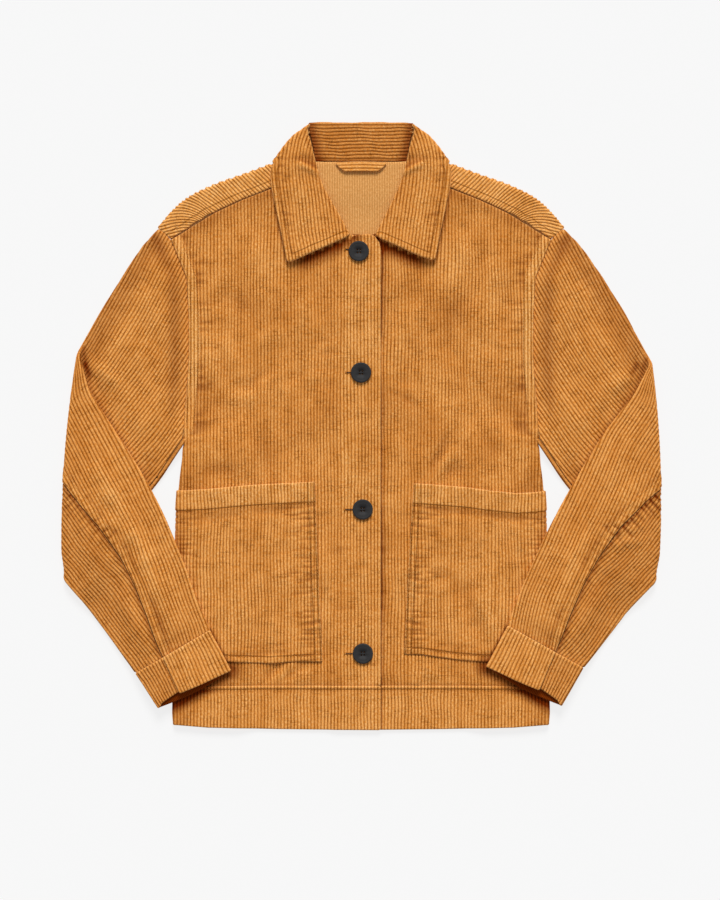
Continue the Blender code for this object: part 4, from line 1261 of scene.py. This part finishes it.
TOP_LEANS = ((-60, 27), (0, 29), (40, 33), (70, 34.5), (100, 36.5), (135, 42), (165, 45), (200, 43.5),
             (235, 41), (271, 37), (320, 26.5), (364, 29), (400, 37))
UNDER_LEANS = ((0, 35), (60, 35), (120, 40), (160, 48), (200, 53), (250, 50), (300, 43.5), (400, 43.5))
SLEEVE_FOLDS = {
    "right": ([(296, 72, 262, 44, 7, 2.2), (294, 60, 276, 22, 6, -1.5), (236, 150, 214, 96, 12, 1.4),
               (205, 40, 236, -8, 10, 1.5), (262, 100, 232, 60, 14, 1.0), (226, 182, 206, 140, 12, 1.2)],
              [(288, -42, 262, -82, 9, 2.0), (282, -66, 252, -102, 8, 1.8), (276, -96, 244, -122, 8, 1.6),
               (250, -110, 226, -150, 9, 2.0), (236, -138, 214, -188, 10, 1.8),
               (226, -182, 212, -232, 8, -1.5), (262, -176, 238, -228, 8, 1.6),
               (300, -70, 292, -150, 10, 1.5), (312, -60, 306, -140, 8, 1.0), (250, 0, 262, -60, 14, 1.2)]),
    "left": ([(300, 62, 268, 36, 7, 2.0), (296, 48, 280, 16, 6, -1.2), (238, 152, 214, 98, 12, 1.4),
              (205, 42, 238, -6, 10, 1.5), (264, 98, 234, 58, 14, 1.0), (226, 184, 206, 142, 12, 1.2)],
             [(316, -74, 284, -88, 6, 2.0), (318, -88, 280, -104, 6, 2.0), (316, -104, 272, -116, 6, 2.0),
              (312, -120, 262, -130, 6, 1.8), (300, -60, 262, -92, 9, 1.4), (244, -116, 222, -152, 9, 1.6),
              (232, -146, 212, -196, 10, 1.6), (256, -178, 236, -226, 8, 1.4),
              (250, 0, 262, -60, 14, 1.2)]),
}
BACK_ROWS = (1.8, 8.4)        # rows of stitches beside the back seam
for side_name, sign, _ in SIDES:
    hand, folds = sleeve_of(side_name), SLEEVE_FOLDS[side_name]
    upper_top, upper_under = np.array(hand.top, float), np.array(hand.under, float)
    lower_top, lower_under = unfold(hand, FOREARM_TOP[side_name]), unfold(hand, FOREARM_UNDER[side_name])
    past_top, past_under = [2 * low[-1] - low[-2] for low in (lower_top, lower_under)]
    top_edge = in_steps(np.vstack([(204, 226), upper_top, lower_top, past_top]))
    under_edge = in_steps(np.vstack([(178, 3), upper_under, lower_under, past_under]))
    back_seam = [share_of(a, b, [share])[0] for a, b, share in
                 zip(np.vstack([upper_top, lower_top]), np.vstack([upper_under, lower_under]),
                     UPPER_SEAM + FOREARM_SEAM)]
    seam_y = back_seam[0][1]
    back_seam[0] = np.array([read(ARMHOLE, seam_y) + 0.5, seam_y])
    back_seam = in_steps(back_seam)
    arm = np.array([(read(ARMHOLE, y) + 0.5, y) for y in
                    (210, 200, 190, 180, 170, 160, 140, 120, 100, 70, 50, 25, 10, -4)])
    off_edge = left_of(np.gradient(under_edge, axis=0))
    under_seam = under_edge + off_edge * UNDERARM_SEAM
    under_seam = under_seam[under_seam[:, 1] < -12]
    before_cuff = (under_seam - lower_under[-1]) @ (lower_under[-1] - lower_under[-2]) < -3
    under_seam = under_seam[before_cuff]

    # The top piece, from its own front half round the pressed edge to the back seam
    line = grain((203, 98), TOP_LEANS, 200, 620)
    apex_at = float(on_grain(line, *hand.apex)[0][0])
    edge = pressed_edge(line, top_edge)
    front = np.vstack([arm, under_seam, share_of(lower_under[-1], lower_top[-1], np.linspace(0.08, 1, 12))])
    behind = np.vstack([share_of(lower_top[-1], lower_under[-1], np.linspace(0, FOREARM_SEAM[-1], 9)),
                        back_seam[::-1][1:], arm[arm[:, 1] > seam_y + 6][::-1]])
    outline = np.vstack([tube_pattern(line, edge, 1, front, True),
                         tube_pattern(line, edge, 1, behind, False, apex_at)])
    seam_line = tube_pattern(line, edge, 1, back_seam, False, apex_at)

    def from_back_seam(u, v):
        gap, (first, second) = segment_distance(seam_line, u, v), BACK_ROWS
        return 0.2 + np.abs((gap - first) * (gap - second) / (second - first))

    def seam_puckers(u, v):
        gap = segment_distance(seam_line, u, v)
        return gap, puckers(v, gap, 20, 1.0, 6.5) * (0.4 + 0.6 * faded(np.abs(-v - 265), 0, 110))

    def top_thicker(u, v):
        gap, pucker = seam_puckers(u, v)
        return (0.6 * faded(gap, 8.4, 9.8) - 0.8 * pucker) * (u > np.interp(-v, *edge))

    # Painted light and shade on a sleeve's top piece: light and shade along its folds, a painted dark notch
    # at the elbow's apex, painted shade where the forearm lies over it and beside the armhole, and darker
    # toward its top and under edges; behind, a lighter seam ridge with painted shade beside it and in its
    # puckers, and a lit pressed edge
    def top_tone(u, v, x, y):
        over_fold = [hand.apex, *FOREARM_TOP[hand.name][:3]]
        front = 0.11 * creases(folds[0], x, y)
        front -= 0.8 * bump(segment_distance([(297, 66), (292, 56)], x, y), 0, 3.5)
        front -= 0.6 * faded(segment_distance(over_fold, x, y), 0, 6)
        front -= 0.4 * faded(segment_distance(hand.top[1:], x, y), 8, 34)
        front -= 0.3 * faded(segment_distance(hand.under, x, y), 10, 34) * faded(x, 232, 212)
        front -= 0.55 * bump(x - read(ARMHOLE, y), 16, 8) * faded(y, 50, -10)
        gap, pucker = seam_puckers(u, v)
        back = 0.16 * creases(folds[1], x, y) - 0.07 + 0.3 * faded(gap, 8.4, 9.6)
        back -= 0.3 * bump(gap, 11.5, 1.6) + 0.8 * pucker
        back += 0.3 * faded(np.abs(u - np.interp(-v, *edge)), 0, 3)
        return np.where(u > np.interp(-v, *edge), back, front)

    top_piece = make_shell("sleeve_%s_top_cloth" % side_name, outline,
                           tube_lay(hand, line, edge, 1, folds, apex_at), row=2.8, mirrored=sign < 0,
                           seed=41 + sign, seams=[from_back_seam], thicker=top_thicker, painted_light_and_nap=top_tone)
    declare(top_piece, "sleeve_%s_top" % side_name)

    # The under piece, gathered along the back seam
    line = grain(under_edge[0], UNDER_LEANS, 60, 520)
    edge = pressed_edge(line, under_edge)
    back_under = back_seam - left_of(np.gradient(back_seam, axis=0)) * 0.5
    front = under_seam - off_edge[-1] * 0.5
    behind = np.vstack([arm[arm[:, 1] < seam_y - 6][::-1], back_under,
                        share_of(lower_top[-1], lower_under[-1],
                                 np.linspace(FOREARM_SEAM[-1] + 0.03, 1, 6))])
    outline = np.vstack([tube_pattern(line, edge, -1, front[::-1], True),
                         tube_pattern(line, edge, -1, behind, False)])
    seam_line = tube_pattern(line, edge, -1, back_under, False)

    def under_puckers(u, v):
        gap = segment_distance(seam_line, u, v)
        strength = GATHERED[side_name] * (0.3 + 0.9 * faded(np.abs(-v - 175), 0, 70))
        return gap, puckers(v, gap, 30, 2.6, 6.0) * strength

    # Painted light and shade on a sleeve's under piece: darker overall, painted shade along the gathered
    # back seam and in its puckers, and a lighter strip beside the seam
    def under_tone(u, v, x, y):
        gap, pucker = under_puckers(u, v)
        front = ease((u - np.interp(-v, *edge)) / 2)
        shade = 0.1 * front - (0.55 * faded(gap, 0, 4.5) + 0.9 * pucker) * (1 - front)
        return shade - 0.24 + 0.2 * bump(gap, 8, 3)

    under_piece = make_shell("sleeve_%s_under_cloth" % side_name, outline,
                             tube_lay(hand, line, edge, -1, folds), row=2.8, mirrored=sign < 0,
                             seed=51 + sign, thicker=lambda u, v: -1.1 * under_puckers(u, v)[1],
                             painted_light_and_nap=under_tone)
    declare(under_piece, "sleeve_%s_under" % side_name)


# ---------------------------------------------------------------- cuffs
# Plain bands round the wrists, open at the back seam, where the upper end laps
# over the lower one.

CUFF_LAP, UNDERLAP, LAP_SHARE = 2.6, 14.0, 0.635
CUFF_BOW, CUFF_PUFF = 0.065, 1.4  # the end's curve, and how high the middle stands
for side_name, sign, _ in SIDES:
    hand = sleeve_of(side_name)
    start = np.array([FOREARM_TOP[side_name][-1], FOREARM_UNDER[side_name][-1]], float)
    end = np.array(CUFF_END[side_name], float)
    around, deep = float(np.hypot(*(start[1] - start[0]))) - 2, float(np.hypot(*(end[0] - start[0])))
    stops = np.cumsum([0, LAP_SHARE * around, pi * TUBE, around, pi * TUBE,
                       (1 - LAP_SHARE) * around + UNDERLAP])

    def cuff_lay(u, v):
        """u runs round the wrist: lapping side, edge, lower side, edge, lapped side."""
        at = [(u - stops[k]) / (stops[k + 1] - stops[k]) for k in range(5)]
        part = np.clip(np.searchsorted(stops, u) - 1, 0, 4)
        laps = (1 - LAP_SHARE) + UNDERLAP / around
        share = np.select([part == 0, part == 1, part == 2, part == 3],
                          [LAP_SHARE * (1 - at[0]), 0 * u, at[2], 0 * u + 1], 1 - laps * at[4])
        bow = CUFF_BOW * np.clip(-v / deep, 0, 1) * np.sin(pi * np.clip(share, 0, 1))
        share = share + bow * (part != 2)
        angle = np.select([part == 1, part == 3], [pi * at[1] - pi / 2, pi / 2 - pi * at[3]],
                          np.where(part == 2, pi / 2, -pi / 2))
        past = np.select([part == 1, part == 3], [-TUBE * np.cos(angle), TUBE * np.cos(angle)], 0 * u)
        lift = TUBE * np.sin(angle)
        lap = np.where(part == 0, CUFF_LAP * faded(share / LAP_SHARE, 0.7, 0.25), 0.0)
        inside_more = np.where(part == 2, 0.07 * np.sin(pi * np.clip(at[2], 0, 1)), 0.0)
        down = -v / deep * (1 + inside_more)
        low = start + (end - start) * down[:, None, None]
        across = low[:, 1] - low[:, 0]
        unit = across / np.hypot(*across.T)[:, None]
        spot = low[:, 0] + across * share[:, None] + unit * past[:, None]
        arch = np.sin(pi * np.clip(share, 0, 1))
        above = faded(v, -0.5, -3.5) + (CUFF_PUFF + 0.5 * ripple(*spot.T, 61, 34)) * arch
        z = forearm_rise(hand, *spot.T) + TUBE - lift + lap + ease(-lift / TUBE) * above
        return np.stack([*spot.T, z], 1)

    # Painted light and shade on a cuff: the lapping end lighter, lit edges along the lap, top and bottom,
    # and the inside of the wrist opening painted dark for the shade in it
    def cuff_tone(u, v, x, y):
        lapped, inner = u < stops[1] + 2, (u > stops[2] - 2) & (u < stops[3] + 2)
        shade = np.where(lapped, 0.2 + 0.3 * faded(u, 0, 2.2), -0.2)
        shade = shade + 0.3 * faded(-v, 0, 2.5) + 0.2 * faded(v + deep, 0, 2.5)
        return np.where(inner, -1.4, shade)

    ends = [(0, 0.8), (stops[1], 0.8), (stops[2], 0.3), (stops[3], 0.3), (stops[4], 0.8),
            (stops[5], 0.8), (stops[5], -deep + 8), (stops[4] + 6, -deep + 3.5), (stops[4], -deep),
            (stops[3], -deep), (stops[2], -deep), (stops[1], -deep), (stops[1] * 0.5, -deep + 1.5),
            (0, -deep + 4)]
    cuff = make_shell("cuff_%s_cloth" % side_name, rounded(ends, 3.0), cuff_lay, row=2.5,
                      mirrored=sign < 0, seed=71 + sign, flip=-1, painted_light_and_nap=cuff_tone)
    declare(cuff, "cuff_" + side_name)


# ---------------------------------------------------------------- buttons
# Four charcoal buttons with a raised rim and a sunk middle, each sewn on
# through four holes with two bars of dark thread.

BUTTONS = ((-2.4, 188.3), (0.0, 57.5), (1.8, -90.0), (2.0, -245.2))
BUTTON_BASE = 6.3
PROFILE = ((7.6, 2.35), (8.2, 2.4), (8.7, 2.56), (9.3, 2.64), (10.0, 2.62), (10.7, 2.42), (11.0, 2.0),
           (10.9, 1.3), (10.2, 0.5), (9.2, 0.05))
(FACE_RADIUS, FACE_HEIGHT), BACK_HEIGHT = PROFILE[0], PROFILE[-1][1]
HOLES = [(x, y) for x in (-1.5, 1.5) for y in (-1.5, 1.5)]
HOLE_RADIUS, HOLE_FILLED = 0.92, 0.91
AROUND, AROUND_HOLE = 72, 20  # points round a button's rim and round each hole

speckle = bpy.data.node_groups.new("speckle", "ShaderNodeTree")
for key, way, kind in (("Fineness", "INPUT", "Float"), ("Detail", "INPUT", "Float"),
                       ("Dark", "INPUT", "Color"), ("Light", "INPUT", "Color"),
                       ("Color", "OUTPUT", "Color"), ("Grain", "OUTPUT", "Float")):
    speckle.interface.new_socket(key, in_out=way, socket_type="NodeSocket" + kind)
tree = speckle
given = node("NodeGroupInput").outputs
grains = noise(node("ShaderNodeTexCoord").outputs["Object"], given["Fineness"], given["Detail"])
node("NodeGroupOutput", (("Color", tint(grains, given["Dark"], given["Light"])), ("Grain", grains)))


def speckled(fineness, detail, dark, light):
    """Colours the material being made in grains of two shades; puts out its node."""
    made = node("ShaderNodeGroup", (("Fineness", fineness), ("Detail", detail), ("Dark", dark),
                                    ("Light", light)), node_tree=speckle)
    tree.links.new(made.outputs["Color"], shader.inputs["Base Color"])
    return made


horn, tree, shader = new_material("charcoal button", 0.62, 0.14)
turned = speckled(400.0, 4.0, (0.021, 0.0205, 0.021, 1), (0.034, 0.033, 0.034, 1))
bumps = node("ShaderNodeBump", (("Height", turned.outputs["Grain"]), ("Strength", 0.15),
                                ("Distance", 0.2 * MM)))
tree.links.new(bumps.outputs[0], shader.inputs["Normal"])


def ring_of(radius, count, centre=(0.0, 0.0)):
    """Points evenly round a circle."""
    turns = [2 * pi * k / count for k in range(count)]
    return [(centre[0] + radius * cos(turn), centre[1] + radius * sin(turn)) for turn in turns]


def button_face():
    """The flat middle with its four holes, as points and triangles."""
    points, edges = [], []
    for circle in [ring_of(FACE_RADIUS, AROUND)] + [ring_of(HOLE_RADIUS, AROUND_HOLE, at) for at in HOLES]:
        first = len(points)
        points += circle
        edges += [(first + k, first + (k + 1) % len(circle)) for k in range(len(circle))]
    found, _, triangles, *_ = delaunay_2d_cdt(points, edges, [], 0, 1e-6)
    kept = []
    for corners in triangles:
        x, y = np.mean([found[k] for k in corners], axis=0)
        if hypot(x, y) < FACE_RADIUS and all(hypot(x - a, y - b) > HOLE_FILLED for a, b in HOLES):
            kept.append(tuple(corners))
    return [tuple(point) for point in found], kept


def button_body():
    """The face and the back, the walls of the holes, and the turned rim."""
    flat, triangles = button_face()
    count = len(flat)
    points = [(x, y, FACE_HEIGHT) for x, y in flat] + [(x, y, BACK_HEIGHT) for x, y in flat]
    faces = list(triangles) + [tuple(count + k for k in reversed(t)) for t in triangles]
    for hole in range(4):
        first = AROUND + AROUND_HOLE * hole
        for k in range(AROUND_HOLE):
            a, b = first + k, first + (k + 1) % AROUND_HOLE
            faces.append((a, b, count + b, count + a))
    rings = [list(range(AROUND))]
    for radius, z in PROFILE[1:]:
        rings.append(list(range(len(points), len(points) + AROUND)))
        points += [(x, y, z) for x, y in ring_of(radius, AROUND)]
    rings.append(list(range(count, count + AROUND)))
    for upper_ring, lower_ring in zip(rings, rings[1:]):
        for k in range(AROUND):
            m = (k + 1) % AROUND
            faces.append((upper_ring[k], lower_ring[k], lower_ring[m], upper_ring[m]))
    return points, faces


def thread_bar(start, end, rise, radius):
    """A short rounded stitch between two points of a sewn thread."""
    start, end = np.array(start, float), np.array(end, float)
    run = (end - start) / np.linalg.norm(end - start)
    side = np.cross(run, (0, 0, 1.0))
    up = np.cross(side, run)
    points, faces = [], []
    for share, size in ((0.0, 0.75 * radius), (0.5, radius), (1.0, 0.75 * radius)):
        middle = start + (end - start) * share + up * rise * 4 * share * (1 - share)
        points += [middle + size * (side * cos(pi * k / 3) + up * sin(pi * k / 3)) for k in range(6)]
    for first in (0, 6):
        for k in range(6):
            m = (k + 1) % 6
            faces.append((first + k, first + m, first + 6 + m, first + 6 + k))
    faces += [tuple(reversed(range(6))), tuple(range(12, 18))]
    return points, faces


def gather(name, parts):
    """One mesh from several lists of points and faces, in millimetres."""
    points, faces = [], []
    for some, around_them in parts:
        faces += [tuple(len(points) + k for k in face) for face in around_them]
        points += [tuple(point) for point in some]
    mesh = bpy.data.meshes.new(name)
    mesh.from_pydata((np.array(points) * MM).tolist(), [], faces)
    mesh.validate()
    mesh.shade_smooth()
    piece = bpy.data.objects.new(name, mesh)
    bpy.context.scene.collection.objects.link(piece)
    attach(piece, "root")
    return piece


# Charcoal thread for the buttons, also used for the dark bars that stand for the shade in the buttonhole
# slits
dark_thread_and_slit_shade, tree, shader = new_material("charcoal thread and slit shade", 0.8, 0.5)
speckled(1500.0, 2.0, (0.006, 0.005, 0.005, 1), (0.016, 0.014, 0.013, 1))

for number, (x, y) in enumerate(BUTTONS, start=1):
    button = gather("button_%d_turned" % number, [button_body()])
    button.location = (x * MM, y * MM, BUTTON_BASE * MM)
    button.data.materials.append(horn)
    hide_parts("button_%d" % number)
    bars = [thread_bar((a, -1.5, 2.0), (a, 1.5, 2.0), 0.4, 0.15) for a in (-1.5, 1.5)]
    bars += [thread_bar((a, b, -1.0), (a, b + 0.01, 1.6), 0.0, HOLE_FILLED) for a, b in HOLES]
    sewn = gather("button_%d_thread" % number, bars)
    sewn.location = button.location
    sewn.data.materials.append(dark_thread_and_slit_shade)


# ---------------------------------------------------------------- buttonholes
# Worked across the upper front with close stitches; the cut, a dark bar painted
# for the shade in the slit, runs outward from behind each button.

thread, tree, shader = new_material("tan thread", 0.9, 0.05)
speckled(1100.0, 2.0, (0.28, 0.085, 0.008, 1), (0.50, 0.18, 0.028, 1))

HOLE_ENDS = ((-17.0, 190.2), (-16.0, 57.4), (-17.5, -90.2), (-17.0, -245.4))
STITCH_STEP = 0.62


def on_lap(x, y):
    """Height of the upper front's ribs at one point."""
    rise = front_rise("right", True)
    return float(rise(np.array([-x]), np.array([y]))[0]) + CREST


bars, slit_shade_bars = [], []
for (button_x, _), (end, y) in zip(BUTTONS, HOLE_ENDS):
    for k in range(int((button_x - 4 - end) / STITCH_STEP)):
        x = end + STITCH_STEP * k
        z = on_lap(x, y)
        for side in (-1, 1):
            bars.append(thread_bar((x, y + 0.35 * side, z - 0.15), (x + 0.1, y + 1.45 * side, z - 0.1),
                                   0.14, 0.26))
    z = on_lap(end, y)
    for k in range(3):
        x = end - 0.3 - 0.3 * k
        bars.append(thread_bar((x, y - 1.5, z - 0.05), (x, y + 1.5, z - 0.05), 0.12, 0.22))
    # The slit itself: a dark bar standing for the shade inside the cut
    slit_shade_bars.append(thread_bar((end + 0.4, y, z + 0.1), (button_x - 9, y, z + 0.05), 0.0, 0.42))
holes = gather("buttonholes", bars)
holes.data.materials.append(thread)
slit_shade = gather("buttonhole_slit_shade", slit_shade_bars)
slit_shade.data.materials.append(dark_thread_and_slit_shade)


# ---------------------------------------------------------------- stitching
# Rows of tan thread along the seams and round the edges, each stitch a short
# bar half sunk in the ribs.

def stitch_row(points, height_at, length=2.3, gap=3.1):
    """Stitches along an open line of laid points, at the height of the cloth there."""
    points = in_steps(points, 0.5)
    steps = np.hypot(*np.diff(points, axis=0).T)
    at = np.concatenate([[0], np.cumsum(steps)])
    starts = np.arange(0.5, at[-1] - length, gap)
    first, last = [np.stack([np.interp(places, at, column) for column in points.T], 1)
                   for places in (starts, starts + length)]
    return [thread_bar((x0, y0, z0 - 0.12), (x1, y1, z1 - 0.12), 0.1, 0.26) for (x0, y0), (x1, y1), z0, z1
            in zip(first, last, height_at(*first.T), height_at(*last.T))]


bars = []
for side_name, sign, upper in SIDES:
    rise = front_rise(side_name, upper)

    def on_front(x, y):
        return rise(x, y) + CREST + 0.6

    def on_band(x, y):
        return rise(x, y * 0 + AT_SEAM) + CREST + 0.2

    def on_pocket(x, y):
        return rise(x, y) + LAYER + CREST

    row_bars = []
    for reach in ARM_ROWS:
        row = [(read(ARMHOLE, y) - reach, y) for y in (4, 25, 45, 70, 120, 160, 185, 199)]
        row_bars += stitch_row(row, on_front)
    row_bars += stitch_row([(-20, HEM_SEAM - BAND_ROW), (198, HEM_SEAM - BAND_ROW)], on_band)
    inner, top, bottom = POCKETS[side_name]
    row = [inner[-1]] + [point for point in top if point[0] < 196]
    row_bars += stitch_row([(x, y - POCKET_HEM) for x, y in row], on_pocket)
    for reach in POCKET_ROWS:
        row_bars += stitch_row([(x + reach, y) for x, y in inner][::-1], on_pocket)
    row = [(inner[0][0] + 8, inner[0][1] + 6)]
    row += [(x, y + POCKET_FOOT_ROW) for x, y in bottom[::-1] if x < 180]
    row_bars += stitch_row(row, on_pocket)
    bars += [([(sign * x, y, z) for x, y, z in np.array(points)], faces) for points, faces in row_bars]
sewing = gather("stitching", bars)
sewing.data.materials.append(thread)


# ---------------------------------------------------------------- floor, light and camera
# A plain pale floor, soft light from above the collar, and a straight-down view.

floor_mesh = bpy.data.meshes.new("floor")
floor_mesh.from_pydata([(-6, -6, -0.0004), (6, -6, -0.0004), (6, 6, -0.0004), (-6, 6, -0.0004)], [],
                       [(0, 1, 2, 3)])
floor_piece = bpy.data.objects.new("floor", floor_mesh)
bpy.context.scene.collection.objects.link(floor_piece)
paper, tree, shader = new_material("pale floor", 1.0, 0.5)
shader.inputs["Base Color"].default_value = (0.12, 0.12, 0.12, 1)
shader.inputs["Emission Color"].default_value = (1, 1, 1, 1)
shader.inputs["Emission Strength"].default_value = 0.80
floor_mesh.materials.append(paper)

sun_data = bpy.data.lights.new("window", "SUN")
sun_data.energy = 3.05
sun_data.angle = radians(24)
sun = bpy.data.objects.new("window", sun_data)
sun.rotation_euler = (radians(-50), radians(3), 0)
bpy.context.scene.collection.objects.link(sun)
world = bpy.data.worlds.new("soft room")
bpy.context.scene.world = world
world.use_nodes = True
world.node_tree.nodes["Background"].inputs["Color"].default_value = (1.0, 1.0, 1.0, 1)
world.node_tree.nodes["Background"].inputs["Strength"].default_value = 0.40

camera_data = bpy.data.cameras.new("camera")
camera_data.lens = 100
camera = bpy.data.objects.new("camera", camera_data)
camera.location = (-0.0011, -0.0259, 2.7)
bpy.context.scene.collection.objects.link(camera)
bpy.context.scene.camera = camera
bpy.context.scene.view_settings.view_transform = "Standard"
